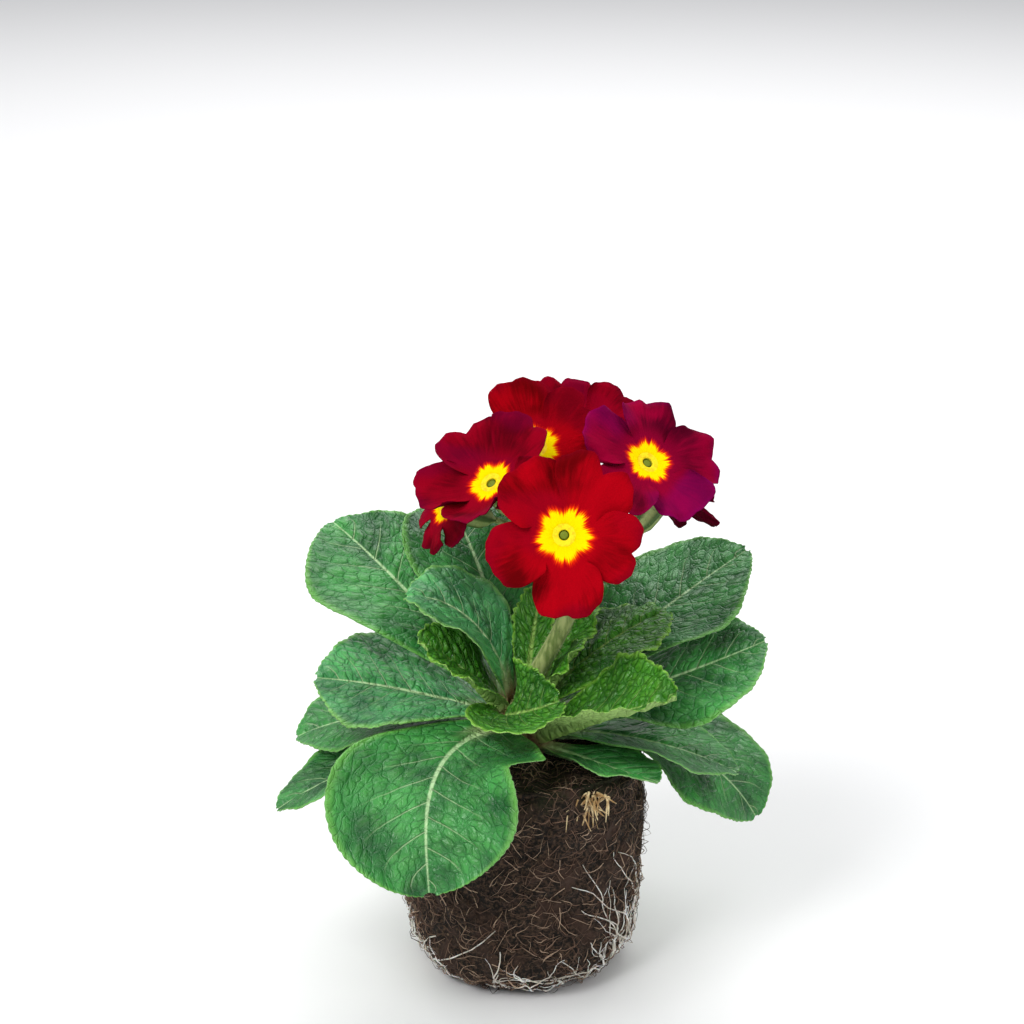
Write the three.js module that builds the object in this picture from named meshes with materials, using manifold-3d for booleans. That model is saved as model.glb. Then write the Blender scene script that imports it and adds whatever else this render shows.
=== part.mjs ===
// A polyanthus in flower, knocked out of its nursery pot: the pot-shaped ball of peat compost with white
// roots round it, the crown, a rosette of crinkled leaves, and one stalk with an umbel of eight dark red,
// yellow-eyed flowers. Millimetres, +Z up. The origin is the middle of the compost ball's flat base, and -Y
// is the front.
import * as THREE from 'three';
import { mergeVertices } from 'three/addons/utils/BufferGeometryUtils.js';
import Module from 'manifold-3d';

const wasm = await Module();
wasm.setup();

const { degToRad, lerp, smoothstep, clamp } = THREE.MathUtils;

// Driving dimensions
const BALL_HEIGHT = 84;
const BALL_TOP_RADIUS = 44;
const BALL_WALL_RADIUS = 41;
const BALL_FOOT_RADIUS = 29;
const CROWN_RADIUS = 7;
const CLEARANCE = 0.35;
const LEAF_THICKNESS = 0.8;
const PETAL_THICKNESS = 0.7;
const UMBEL_BASE = new THREE.Vector3(21, -1, 148);
const STALK_FOOT = new THREE.Vector3(0.5, 0, 88);

const MATERIALS = {
  soil: { color: 0x2b1c14, roughness: 0.95 },
  root: { color: 0xe4ddcb, roughness: 0.7 },
  leaf: { color: 0x2f6a35, roughness: 0.5 },
  youngLeaf: { color: 0x5e9c2c, roughness: 0.55 },
  stem: { color: 0x7d9152, roughness: 0.6 },
  redPetal: { color: 0xb00512, roughness: 0.6 },
  winePetal: { color: 0x7d0536, roughness: 0.6 },
  eye: { color: 0xf7d708, roughness: 0.55 },
};

function material(name) {
  return new THREE.MeshStandardMaterial({ ...MATERIALS[name], metalness: 0 });
}

function namedMesh(name, geometry, materialName) {
  geometry.computeVertexNormals();
  const mesh = new THREE.Mesh(geometry, material(materialName));
  mesh.name = name;
  return mesh;
}

// Solids

function indexedGeometry(points, faces) {
  const geometry = new THREE.BufferGeometry().setFromPoints(points);
  geometry.setIndex(faces);
  return mergeVertices(geometry, 1e-4);
}

function toSolid(geometry) {
  return new wasm.Manifold(new wasm.Mesh({
    numProp: 3,
    vertProperties: new Float32Array(geometry.attributes.position.array),
    triVerts: new Uint32Array(geometry.index.array),
  }));
}

function toGeometry(solid) {
  const mesh = solid.getMesh();
  const geometry = new THREE.BufferGeometry();
  geometry.setAttribute('position', new THREE.BufferAttribute(new Float32Array(mesh.vertProperties), 3));
  geometry.setIndex(new THREE.BufferAttribute(new Uint32Array(mesh.triVerts), 1));
  return geometry;
}

function union(solids) {
  return solids.reduce((sum, solid) => sum.add(solid));
}

// Closed solid skinned over a stack of rings of equally many points, each counterclockwise seen from the far
// end.
function skin(rings) {
  const count = rings[0].length;
  const points = rings.flat();
  const faces = [];
  for (let k = 0; k < rings.length - 1; k++) {
    for (let i = 0; i < count; i++) {
      const near = k * count + i;
      const nearNext = k * count + ((i + 1) % count);
      faces.push(near, nearNext, nearNext + count, near, nearNext + count, near + count);
    }
  }
  const last = (rings.length - 1) * count;
  const centreOf = (ring) => ring.reduce((sum, p) => sum.add(p), new THREE.Vector3()).divideScalar(count);
  const foot = points.push(centreOf(rings[0])) - 1;
  const head = points.push(centreOf(rings[rings.length - 1])) - 1;
  for (let i = 0; i < count; i++) {
    const next = (i + 1) % count;
    faces.push(foot, next, i, head, last + i, last + next);
  }
  return indexedGeometry(points, faces);
}

// Ring of points about a centre in the plane of x and y. Its radius, and its lift along x cross y, may vary
// with the angle.
function ring(centre, x, y, sides, radius, lift = () => 0) {
  const radiusAt = typeof radius === 'function' ? radius : () => radius;
  const axis = x.clone().cross(y);
  return Array.from({ length: sides }, (_, i) => {
    const angle = (2 * Math.PI * i) / sides;
    return centre.clone()
      .addScaledVector(x, radiusAt(angle, i) * Math.cos(angle))
      .addScaledVector(y, radiusAt(angle, i) * Math.sin(angle))
      .addScaledVector(axis, lift(angle, i));
  });
}

const X = new THREE.Vector3(1, 0, 0);
const Y = new THREE.Vector3(0, 1, 0);
const Z = new THREE.Vector3(0, 0, 1);

// Round bar along a curve, thick by radiusAt(share of its length).
function bar(curve, steps, sides, radiusAt) {
  const frames = curve.computeFrenetFrames(steps, false);
  return skin(frames.tangents.map((_, k) => ring(
    curve.getPointAt(k / steps), frames.normals[k], frames.binormals[k], sides, radiusAt(k / steps),
  )));
}

// Thin closed sheet over a grid of { point, normal, thickness }, both faces split along the same diagonals.
// wall(edge, index) says which strips of the four edges are closed. The others meet the next sheet.
function sheet(grid, wall = () => true) {
  const rows = grid.length;
  const columns = grid[0].length;
  const cells = grid.flat();
  const points = cells.map((cell) => cell.point.clone());
  cells.forEach((cell) => points.push(cell.point.clone().addScaledVector(cell.normal, -cell.thickness)));
  const top = (i, j) => i * columns + j;
  const under = (i, j) => cells.length + top(i, j);
  const faces = [];
  const strip = (a, b, c, d) => faces.push(a, b, c, a, c, d);
  for (let i = 0; i < rows - 1; i++) {
    for (let j = 0; j < columns - 1; j++) {
      strip(top(i, j), top(i + 1, j), top(i + 1, j + 1), top(i, j + 1));
      strip(under(i, j), under(i, j + 1), under(i + 1, j + 1), under(i + 1, j));
    }
  }
  for (let j = 0; j < columns - 1; j++) {
    if (wall('start', j)) strip(top(0, j), top(0, j + 1), under(0, j + 1), under(0, j));
    if (wall('end', j)) {
      strip(top(rows - 1, j + 1), top(rows - 1, j), under(rows - 1, j), under(rows - 1, j + 1));
    }
  }
  for (let i = 0; i < rows - 1; i++) {
    if (wall('left', i)) strip(top(i + 1, 0), top(i, 0), under(i, 0), under(i + 1, 0));
    if (wall('right', i)) {
      strip(top(i, columns - 1), top(i + 1, columns - 1), under(i + 1, columns - 1), under(i, columns - 1));
    }
  }
  return { points, faces };
}

// Compost ball: the peat keeps the shape of the pot, a cone frustum with a rounded foot and a lumpy skin.
const BALL_SIDES = 36;
const FOOT_HEIGHT = 16;
const FOOT_SHARPNESS = 2.4;
const SHOULDER_HEIGHT = 7;
const SHOULDER_DEPTH = 3.5;
const TOP_DOME = 2.5;
const TOP_LUMP = 0.8;
const CROWN_HOLE_DEPTH = 14;

function ballRadius(z) {
  const wall = lerp(BALL_WALL_RADIUS, BALL_TOP_RADIUS, z / BALL_HEIGHT);
  const foot = (BALL_WALL_RADIUS - BALL_FOOT_RADIUS) * Math.max(0, 1 - z / FOOT_HEIGHT) ** FOOT_SHARPNESS;
  const shoulder = SHOULDER_DEPTH * smoothstep(z, BALL_HEIGHT - SHOULDER_HEIGHT, BALL_HEIGHT) ** 2;
  return wall - foot - shoulder;
}

// Lumps of the skin: three waves round the ball, which turn as they rise.
function lump(angle, z) {
  return 0.6 * Math.sin(3 * angle + 0.06 * z) + 0.5 * Math.sin(5 * angle - 0.09 * z + 1)
    + 0.4 * Math.sin(9 * angle + 0.21 * z + 2);
}

function compostBall() {
  const heights = [0, 1.5, 4, 9, 16, 28, 41, 54, 66, 76];
  const rings = heights.map((z) => ring(
    new THREE.Vector3(0, 0, z), X, Y, BALL_SIDES, (angle) => ballRadius(z) + (z > 0 ? lump(angle, z) : 0),
  ));
  for (const share of [0.9, 0.6, 0.3]) {
    rings.push(ring(
      new THREE.Vector3(0, 0, BALL_HEIGHT - TOP_DOME * share ** 4), X, Y, BALL_SIDES,
      ballRadius(BALL_HEIGHT) * share,
      (angle) => TOP_LUMP * share * Math.sin(4 * angle + 5 * share),
    ));
  }
  const hole = bar(
    new THREE.LineCurve3(
      new THREE.Vector3(0, 0, BALL_HEIGHT - CROWN_HOLE_DEPTH), new THREE.Vector3(0, 0, BALL_HEIGHT + 6),
    ),
    1, 16, () => CROWN_RADIUS + CLEARANCE,
  );
  return toGeometry(toSolid(skin(rings)).subtract(toSolid(hole)));
}

// White roots: they ran down the inside of the pot, circled its foot, and now lie on the ball's skin. A hoop
// stands for the circling ones, and strands climb from it, the longer ones on the right.
const ROOT_RADIUS = 0.75;
const ROOT_TIP_RADIUS = 0.45;
const ROOT_STRANDS = 18;
const HOOP_HEIGHT = 10;
const HOOP_SWAY = 1.6;
const HOOP_STEPS = 32;
const STRAND_FOOT = 9;
const STRAND_TOP = 16;
const STRAND_SPREAD = 14;
const STRAND_EXTRA = 30;
const STRAND_STEP = 14;

function onBall(angle, z) {
  const radius = ballRadius(z) + lump(angle, z) + 1.1 * ROOT_RADIUS + CLEARANCE;
  return new THREE.Vector3(radius * Math.cos(angle), radius * Math.sin(angle), z);
}

function rootNet() {
  THREE.MathUtils.seededRandom(7);
  const random = () => THREE.MathUtils.seededRandom();
  const hoop = Array.from({ length: HOOP_STEPS }, (_, k) => {
    const angle = (2 * Math.PI * k) / HOOP_STEPS;
    const outward = new THREE.Vector3(Math.cos(angle), Math.sin(angle), 0);
    return { centre: onBall(angle, HOOP_HEIGHT + HOOP_SWAY * Math.sin(3 * angle)), outward };
  });
  const sides = 4;
  const points = hoop.flatMap(({ centre, outward }) => ring(centre, outward, Z, sides, ROOT_RADIUS));
  const faces = [];
  for (let k = 0; k < HOOP_STEPS; k++) {
    for (let i = 0; i < sides; i++) {
      const here = k * sides;
      const there = ((k + 1) % HOOP_STEPS) * sides;
      const next = (i + 1) % sides;
      faces.push(here + i, there + i, there + next, here + i, there + next, here + next);
    }
  }
  const solids = [toSolid(indexedGeometry(points, faces))];
  for (let k = 0; k < ROOT_STRANDS; k++) {
    const start = (2 * Math.PI * (k + 0.6 * random())) / ROOT_STRANDS;
    const right = 0.5 + 0.5 * Math.cos(start + 0.5);
    const top = STRAND_TOP + STRAND_SPREAD * random() + STRAND_EXTRA * right * random();
    const lean = 0.5 * (random() - 0.5);
    const wander = 0.07 + 0.08 * random();
    const steps = 1 + Math.round(top / STRAND_STEP);
    const path = Array.from({ length: steps + 1 }, (_, i) => {
      const share = i / steps;
      return onBall(start + lean * share + wander * Math.sin(5 * share), lerp(STRAND_FOOT, top, share));
    });
    const curve = new THREE.CatmullRomCurve3(path);
    solids.push(toSolid(bar(curve, steps, sides, (share) => lerp(ROOT_RADIUS, ROOT_TIP_RADIUS, share))));
  }
  return toGeometry(union(solids));
}

// Crown: the short rootstock that stands in the compost and carries the leaves and the flower stalk.
const CROWN_TOP = BALL_HEIGHT + 16.5;
const CROWN_TOP_RADIUS = 4.2;
const STALK_FOOT_RADIUS = 2.4;

function crownRadius(z) {
  return lerp(CROWN_RADIUS, CROWN_TOP_RADIUS, smoothstep(z, BALL_HEIGHT, CROWN_TOP));
}

function crown() {
  const foot = BALL_HEIGHT - CROWN_HOLE_DEPTH + CLEARANCE;
  const heights = [foot, BALL_HEIGHT, BALL_HEIGHT + 5, BALL_HEIGHT + 10, CROWN_TOP];
  const rings = heights.map((z) => ring(new THREE.Vector3(0, 0, z), X, Y, 14, crownRadius(z)));
  const socket = bar(
    new THREE.LineCurve3(STALK_FOOT, STALK_FOOT.clone().setZ(CROWN_TOP + 3)),
    1, 10, () => STALK_FOOT_RADIUS + 2 * CLEARANCE,
  );
  return toGeometry(toSolid(skin(rings)).subtract(toSolid(socket)));
}

// Leaves. The rib of a leaf leaves the crown at its azimuth and pitch (rise), turns by swing and falls by
// droop towards the tip. Its blade is length by width, rolled about the rib, cupped by cup, and waved at the
// margin. A wing widens the left side of its foot. Angles are in degrees: azimuth 0 is to the right and 90 to
// the back.
const RIB_STEPS = 40;
const RIB_THICKENING = 1.2;
const PETIOLE_SHARE = 0.11;
const VEIN_SLANT = 0.16;
const SCALLOP = 0.035;
const QUILT = 14;
const WING_PLACE = 0.19;
const WING_REACH = 0.15;
const WING_SAG = 0.35;
const LEAF_COLUMNS = [-1, -0.5, 0, 0.5, 1];

const LEAVES = [
  // name, height on the crown, azimuth, rise, droop, swing, length, width, roll, cup, wave, age, wing
  // Outer leaves, which lie over the rim of the ball
  ['front_left', 7.6, -143, 9, 90, 72, 88, 72, 4, 0.4, 3, 1, 22],
  ['left_low', 6, 166, 7, 35, 16, 78, 50, -4, 0.1, 1.5, 1],
  ['left_front', 2.8, -163, 2, 34, 0, 86, 36, 4, 0.15, 1.5, 1],
  ['right_front', 2.6, -41, 0, 2, 9, 52, 30, -9, 0.2, 1.2, 1],
  ['right_low', 5.7, -11, 3, 32, 3.5, 73, 40, -2, 0.15, 1.5, 1],
  ['right_hanging', 2.2, 16, 3, 62, -46, 90, 56, 8, 0.1, 2, 1],
  ['back_right_low', 5, 52, 12, 46, 8, 90, 56, 0, 0, 2.5, 1],
  ['back_low', 2.8, 92, 4, 60, -4, 92, 58, 0, 0, 2.5, 1],
  ['back_left_low', 5, 128, 5, 46, 0, 88, 54, 0, 0, 2.5, 1],
  // Middle leaves
  ['left_upper', 9.8, 172, 15, 13, 5, 70, 60, -12, 0.1, 1.5, 0.8],
  ['back_left', 11.8, 147, 40, 25, -14, 101, 60, -12, 0, 2.5, 1],
  ['back_centre', 13.4, 112, 54, 44, 0, 90, 54, 0, 0.2, 2.5, 1],
  ['back_right', 10.8, 78, 44, 38, 0, 92, 54, 0, 0.2, 2.5, 1],
  ['right_tall', 9.6, 34, 29, 2, -13, 100, 62, 4, 0.1, 2, 1],
  ['right_broad', 8, 5, 17, -8, -4, 86, 59, 15, 0, 2, 1],
  ['right_cupped', 5.2, -50, 30, 10, 36, 65, 43, 14, 0.6, 1.2, 0.3],
  // Inner leaves, young and steep, close round the stalk
  ['right_inner', 12.4, 20, 44, 34, 0, 60, 42, -2, 0, 1.2, 0.4],
  ['front_cupped', 10.6, -130, 31, 15, 152, 43, 37, 36, 0.6, 0.8, 0.3],
  ['left_arching', 14.9, 160, 80, 92, 14, 60, 50, 0, 0.2, 1.5, 0.7],
  ['left_inner', 12.6, -162, 51, 18, -2, 46, 28, -26, 0.4, 1.2, 0.1],
  ['back_inner', 15.2, 75, 66, 34, 2, 42, 15, 0, 0.4, 1, 0],
  ['right_young', 14.1, 47, 48, 10, 4, 45, 21, 0, 0.2, 1, 0.1],
  ['heart', 14.6, -10, 64, 16, 6, 31, 13, 0, 0, 0.8, 0],
].map(([name, height, azimuth, rise, droop, swing, length, width, roll, cup, wave, age, wing = 0]) => (
  { name, z: BALL_HEIGHT + height, azimuth, rise, droop, swing, length, width, roll, cup, wave, age, wing }
));

// Half the blade's width at a share s of its length: a narrow winged stalk that widens to a rounded end.
function halfWidth(leaf, s) {
  const blade = Math.sin(Math.PI * s ** lerp(1.5, 1.9, leaf.age)) ** lerp(0.5, 0.75, leaf.age);
  const stalk = PETIOLE_SHARE * (1 - s);
  return (leaf.width / 2) * (blade + stalk * (1 - blade));
}

// Centre and axes of the rib at each of RIB_STEPS equal steps, found by adding short straight lengths.
function ribOf(leaf) {
  const azimuth = degToRad(leaf.azimuth);
  const reach = crownRadius(leaf.z) + CLEARANCE;
  const centre = new THREE.Vector3(reach * Math.cos(azimuth), reach * Math.sin(azimuth), leaf.z);
  const frames = [];
  for (let k = 0; k <= RIB_STEPS; k++) {
    const s = k / RIB_STEPS;
    const heading = azimuth + degToRad(leaf.swing) * s;
    const pitch = degToRad(leaf.rise - leaf.droop * s ** 1.5);
    const roll = degToRad(leaf.roll) * smoothstep(s, 0.1, 0.7);
    const tangent = new THREE.Vector3(
      Math.cos(pitch) * Math.cos(heading), Math.cos(pitch) * Math.sin(heading), Math.sin(pitch),
    );
    const level = new THREE.Vector3(-Math.sin(heading), Math.cos(heading), 0);
    const up = tangent.clone().cross(level);
    const side = level.clone().multiplyScalar(Math.cos(roll)).addScaledVector(up, Math.sin(roll));
    frames.push({ centre: centre.clone(), side, normal: tangent.clone().cross(side) });
    centre.addScaledVector(tangent, leaf.length / RIB_STEPS);
  }
  return frames;
}

function ribAt(frames, s) {
  const place = clamp(s, 0, 1) * RIB_STEPS;
  const k = Math.min(Math.floor(place), RIB_STEPS - 1);
  const mix = (key) => frames[k][key].clone().lerp(frames[k + 1][key], place - k);
  return { centre: mix('centre'), side: mix('side'), normal: mix('normal') };
}

// A point of the blade at share s along it and t across it, -1 to 1. Rows slant forward with the side veins,
// and every other row stands out at the margin and swells between rib and margin (notch).
function bladePoint(leaf, frames, s, t, notch) {
  const along = s + VEIN_SLANT * 4 * s * (1 - s) * Math.abs(t);
  const { centre, side, normal } = ribAt(frames, along);
  const wing = t > 0 ? leaf.wing * Math.exp(-(((s - WING_PLACE) / WING_REACH) ** 4)) : 0;
  const half = (halfWidth(leaf, along) + wing) * (1 + notch * Math.abs(t));
  const bend = leaf.cup * 2;
  const turn = bend * t;
  const across = Math.abs(bend) < 1e-6 ? half * t : (half * Math.sin(turn)) / bend;
  const dish = Math.abs(bend) < 1e-6 ? 0 : (half * (1 - Math.cos(turn))) / bend;
  const phase = 13 * s + leaf.azimuth + (t > 0 ? 0 : 70);
  const margin = leaf.wave * t * t * Math.sin(Math.PI * s) * Math.sin(phase);
  const quilt = QUILT * notch * 4 * Math.abs(t) * (1 - Math.abs(t)) * Math.sin(Math.PI * s);
  const sag = WING_SAG * wing * t * t;
  return {
    point: centre.addScaledVector(side, across).addScaledVector(normal, dish + margin + quilt - sag),
    normal: normal.clone().multiplyScalar(Math.cos(turn)).addScaledVector(side, -Math.sin(turn)),
    thickness: LEAF_THICKNESS + RIB_THICKENING * (1 - along) ** 1.2 * (1 - Math.abs(t)) ** 2,
  };
}

function leafGeometry(leaf) {
  const frames = ribOf(leaf);
  const rows = leaf.length > 65 ? 14 : 10;
  const lastRow = 0.99;
  const grid = Array.from({ length: rows + 1 }, (_, i) => {
    const notch = SCALLOP * (i % 2 ? 1 : -1);
    return LEAF_COLUMNS.map((t) => bladePoint(leaf, frames, (lastRow * i) / rows, t, notch));
  });
  const { points, faces } = sheet(grid);
  return indexedGeometry(points, faces);
}

// Flowers. Each is placed by the middle of its eye and the way it faces, and spin turns it about that axis.
// Its five lobes, counted counterclockwise from the lowest, bend to their own heights, and each lies over the
// next.
const LOBES = 5;
const LOBE_STEP = 1.7;
const LOBE_OVERLAP = 5;
const NOTCH_WIDTH = 0.25;
const EYE_RISE = 1.1;
const THROAT_RADIUS = 3.3;
const TUBE_LENGTH = 17;

const FLOWERS = [
  // name, middle of the eye, facing, spin, radius, radius of the eye, crumple, petal, then for each lobe:
  // rise of its rim, reach, depth of its notch, and depth of the gap between it and the next
  ['front', [14, -25, 173], [0, -0.92, 0.39], 3, 28.5, 11, 1, 'redPetal',
    [-3, -1, 0, 1, 3], [1.02, 0.97, 1.06, 1, 0.97],
    [0.05, 0.12, 0.16, 0.02, 0.02], [0.36, 0.26, 0.16, 0.44, 0.4]],
  ['left', [-11, 2, 182], [-0.45, -0.47, 0.76], 20, 25, 9, 1.4, 'redPetal',
    [9, 7, 5, 6, 9], [0.9, 0.95, 1.06, 1.04, 1],
    [0.04, 0.04, 0.08, 0.1, 0.02], [0.24, 0.34, 0.16, 0.34, 0.3]],
  ['middle', [5, 30, 185], [0, -0.68, 0.73], -16, 24, 9.5, 1.4, 'redPetal',
    [-2, 2, 5, 5, 2], [1, 1, 1.05, 1.1, 1],
    [0.08, 0.1, 0.12, 0.06, 0.1], [0.34, 0.3, 0.24, 0.36, 0.4]],
  ['right', [43.5, 6, 188], [0.38, -0.58, 0.72], 10, 27, 9.4, 3, 'winePetal',
    [6, 0, 1, 2, 4], [0.95, 1.08, 0.95, 1, 1.06],
    [0.02, 0.06, 0.04, 0.02, 0.14], [0.42, 0.4, 0.34, 0.4, 0.42]],
  ['top', [22, 50, 185], [0.05, -0.45, 0.89], 54, 22, 8.8, 1.2, 'redPetal',
    [2, 4, 6, 6, 3], [1, 1, 1.04, 1, 1],
    [0.1, 0.08, 0.12, 0.06, 0.1], [0.3, 0.36, 0.26, 0.34, 0.4]],
  ['left_low', [-27, 13, 169], [-0.82, -0.42, 0.4], 0, 17, 7.5, 0.6, 'redPetal',
    [0, -1, -3, -3, -2], [1.04, 1, 1, 1, 1],
    [0.06, 0.04, 0.08, 0.04, 0.06], [0.18, 0.22, 0.22, 0.2, 0.2]],
  ['right_back', [52, 36, 166], [0.6, 0.6, 0.53], 30, 23, 9, 1.2, 'redPetal',
    [2, 3, 3, 2, 2], [1, 0.96, 1.04, 1, 1],
    [0.1, 0.06, 0.12, 0.08, 0.1], [0.3, 0.38, 0.26, 0.36, 0.34]],
  ['back', [-6, 53, 167], [-0.2, 0.85, 0.5], 36, 22, 8.8, 1.2, 'winePetal',
    [2, 2, 3, 2, 3], [1, 1.04, 1, 0.96, 1],
    [0.08, 0.12, 0.06, 0.1, 0.08], [0.36, 0.28, 0.4, 0.34, 0.3]],
].map(([name, at, facing, spin, radius, eye, crumple, petal, rises, reaches, notches, gaps], number) => (
  { name, number, at, facing, spin, radius, eye, crumple, petal, rises, reaches, notches, gaps }
));

function flowerFrame(flower) {
  const facing = new THREE.Vector3(...flower.facing).normalize();
  const right = Z.clone().cross(facing).normalize();
  const up = facing.clone().cross(right);
  const basis = new THREE.Matrix4().makeBasis(right, up, facing);
  return basis.multiply(new THREE.Matrix4().makeRotationZ(degToRad(flower.spin)));
}

function eyeHeight(flower, radius) {
  return (EYE_RISE * (radius - THROAT_RADIUS)) / (flower.eye - THROAT_RADIUS);
}

// A point of lobe k at v across it, -1 to 1, and out from the eye's edge at 0 to the notched rim at 1.
function lobePoint(flower, k, out, v) {
  const notch = flower.notches[k] * Math.exp(-((v / NOTCH_WIDTH) ** 2));
  const gap = flower.gaps[(k + (v > 0 ? 0 : LOBES - 1)) % LOBES];
  const rim = flower.radius * flower.reaches[k] * (1 - gap * Math.abs(v) ** 3 - notch);
  const radius = lerp(flower.eye, rim, out);
  const spread = 180 / LOBES + LOBE_OVERLAP * Math.sin(0.85 * Math.PI * out);
  const angle = degToRad(-90 + (360 / LOBES) * k + spread * v);
  const neighbour = flower.rises[(k + (v > 0 ? 1 : LOBES - 1)) % LOBES];
  const rise = lerp(flower.rises[k], neighbour, v * v / 2);
  const over = LOBE_STEP * smoothstep(out, 0, 0.5) * v;
  const wave = 0.7 * Math.sin(4 * angle + 2 * flower.number) + 0.5 * Math.sin(7 * angle + 3 * flower.number);
  const height = EYE_RISE + rise * out ** 1.5 + over + flower.crumple * out * out * wave;
  return {
    point: new THREE.Vector3(radius * Math.cos(angle), radius * Math.sin(angle), height),
    normal: Z,
    thickness: PETAL_THICKNESS,
  };
}

function corolla(flower) {
  const across = flower.radius > 25 ? [-1, -0.75, -0.4, 0, 0.4, 0.75, 1] : [-1, -0.5, 0, 0.5, 1];
  const outward = [0, 0.34, 0.67, 1];
  const points = [];
  const faces = [];
  for (let k = 0; k < LOBES; k++) {
    const throat = across.map((v) => {
      const angle = degToRad(-90 + (360 / LOBES) * (k + v / 2));
      return {
        point: new THREE.Vector3(THROAT_RADIUS * Math.cos(angle), THROAT_RADIUS * Math.sin(angle), 0),
        normal: Z,
        thickness: PETAL_THICKNESS,
      };
    });
    const grid = [throat, ...outward.map((out) => across.map((v) => lobePoint(flower, k, out, v)))];
    const lobe = sheet(grid, (edge, i) => edge === 'start' || edge === 'end' || i > 0);
    faces.push(...lobe.faces.map((index) => index + points.length));
    points.push(...lobe.points);
  }
  return indexedGeometry(points, faces);
}

// Corolla tube and the star-shaped yellow eye at its mouth, with the open throat in the middle.
const TUBE_RADIUS = 1.7;
const EYE_THICKNESS = 0.6;
const THROAT_DEPTH = 5;

function eyeAndTube(flower) {
  const star = (angle, i) => (i % 2 ? flower.eye * 0.7 : flower.eye - 0.4);
  const down = Y.clone().negate();
  const turned = (centre, radius, lift) => ring(centre, down, X, 2 * LOBES, radius, lift);
  const at = (z) => new THREE.Vector3(0, 0, z);
  const onPetals = (extra) => (angle, i) => eyeHeight(flower, star(angle, i)) + CLEARANCE + extra;
  return skin([
    turned(at(CLEARANCE - TUBE_LENGTH), TUBE_RADIUS),
    turned(at(CLEARANCE), THROAT_RADIUS - 0.5),
    turned(at(0), star, onPetals(0)),
    turned(at(0), star, onPetals(EYE_THICKNESS)),
    turned(at(0.9), 1.9),
    turned(at(-THROAT_DEPTH), 1.2),
  ]);
}

// Flower stalk: one hairy stem that ends in the umbel's stalks, each with its five-toothed calyx, over
// small bracts.
const CALYX_LENGTH = 12.5;
const CALYX_SIDES = 10;
const CALYX_TOOTH = 4.5;
const STEM_RADIUS = 3.2;
const PEDICEL_RADIUS = 1.5;
const PEDICEL_TIP_RADIUS = 1.15;
const BRACTS = 6;

function calyx(flower, base, axis) {
  const right = new THREE.Vector3().setFromMatrixColumn(flowerFrame(flower), 0);
  const up = axis.clone().cross(right);
  const level = (distance, radius, lift) => ring(
    base.clone().addScaledVector(axis, distance), right, up, CALYX_SIDES, radius, lift,
  );
  const ribbed = (inner, outer) => (angle, i) => (i % 2 ? inner : outer);
  const tooth = (angle, i) => (i % 2 ? 0 : CALYX_TOOTH);
  return toSolid(skin([
    level(-1, 1.2), level(2.5, 3.4), level(CALYX_LENGTH - 4, ribbed(3.7, 4.3)),
    level(CALYX_LENGTH - 1, ribbed(3.6, 4.2), tooth),
    level(CALYX_LENGTH - 1.2, ribbed(3.0, 3.5), tooth),
    level(3, 2.7),
  ]));
}

function stalkWithUmbel() {
  const stem = new THREE.CatmullRomCurve3([
    STALK_FOOT.clone().add(new THREE.Vector3(0, 0, CLEARANCE)),
    new THREE.Vector3(0.5, 0, 96),
    new THREE.Vector3(0.6, 0, 103),
    new THREE.Vector3(6.5, -0.5, 114),
    new THREE.Vector3(14, -1, 129),
    UMBEL_BASE,
  ]);
  const stemRadius = (share) => (
    lerp(STALK_FOOT_RADIUS, STEM_RADIUS, smoothstep(share, 0.2, 0.45)) - 0.3 * share
  );
  const solids = [toSolid(bar(stem, 7, 10, stemRadius))];
  for (const flower of FLOWERS) {
    const axis = new THREE.Vector3(...flower.facing).normalize();
    const base = new THREE.Vector3(...flower.at).addScaledVector(axis, -TUBE_LENGTH - 3);
    const spread = base.clone().sub(UMBEL_BASE);
    const reach = spread.length();
    const path = new THREE.CubicBezierCurve3(
      UMBEL_BASE.clone().addScaledVector(Z, -1.5),
      UMBEL_BASE.clone().addScaledVector(spread, 0.35).addScaledVector(Z, 0.12 * reach),
      base.clone().addScaledVector(axis, -0.35 * reach),
      base,
    );
    solids.push(toSolid(bar(path, 5, 6, (share) => lerp(PEDICEL_RADIUS, PEDICEL_TIP_RADIUS, share))));
    solids.push(calyx(flower, base, axis));
  }
  for (let k = 0; k < BRACTS; k++) {
    const angle = (2 * Math.PI * k) / BRACTS + 0.4;
    const outward = new THREE.Vector3(Math.cos(angle), Math.sin(angle), 0);
    const bract = new THREE.QuadraticBezierCurve3(
      UMBEL_BASE.clone().addScaledVector(Z, -2).addScaledVector(outward, 1.2),
      UMBEL_BASE.clone().addScaledVector(Z, 0.5).addScaledVector(outward, 4.5),
      UMBEL_BASE.clone().addScaledVector(Z, 7).addScaledVector(outward, 5.2),
    );
    solids.push(toSolid(bar(bract, 2, 4, (share) => lerp(1.3, 0.3, share))));
  }
  return toGeometry(union(solids));
}

// Assembly
const plant = new THREE.Group();
plant.add(namedMesh('compost_ball', compostBall(), 'soil'));
plant.add(namedMesh('root_net', rootNet(), 'root'));
plant.add(namedMesh('crown', crown(), 'stem'));
plant.add(namedMesh('flower_stalk', stalkWithUmbel(), 'stem'));

for (const leaf of LEAVES) {
  plant.add(namedMesh(`leaf_${leaf.name}`, leafGeometry(leaf), leaf.age < 0.5 ? 'youngLeaf' : 'leaf'));
}

for (const flower of FLOWERS) {
  const bloom = new THREE.Group();
  bloom.position.set(...flower.at);
  bloom.quaternion.setFromRotationMatrix(flowerFrame(flower));
  bloom.add(namedMesh(`petals_${flower.name}`, corolla(flower), flower.petal));
  bloom.add(namedMesh(`eye_${flower.name}`, eyeAndTube(flower), 'eye'));
  plant.add(bloom);
}

export default plant;
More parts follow.
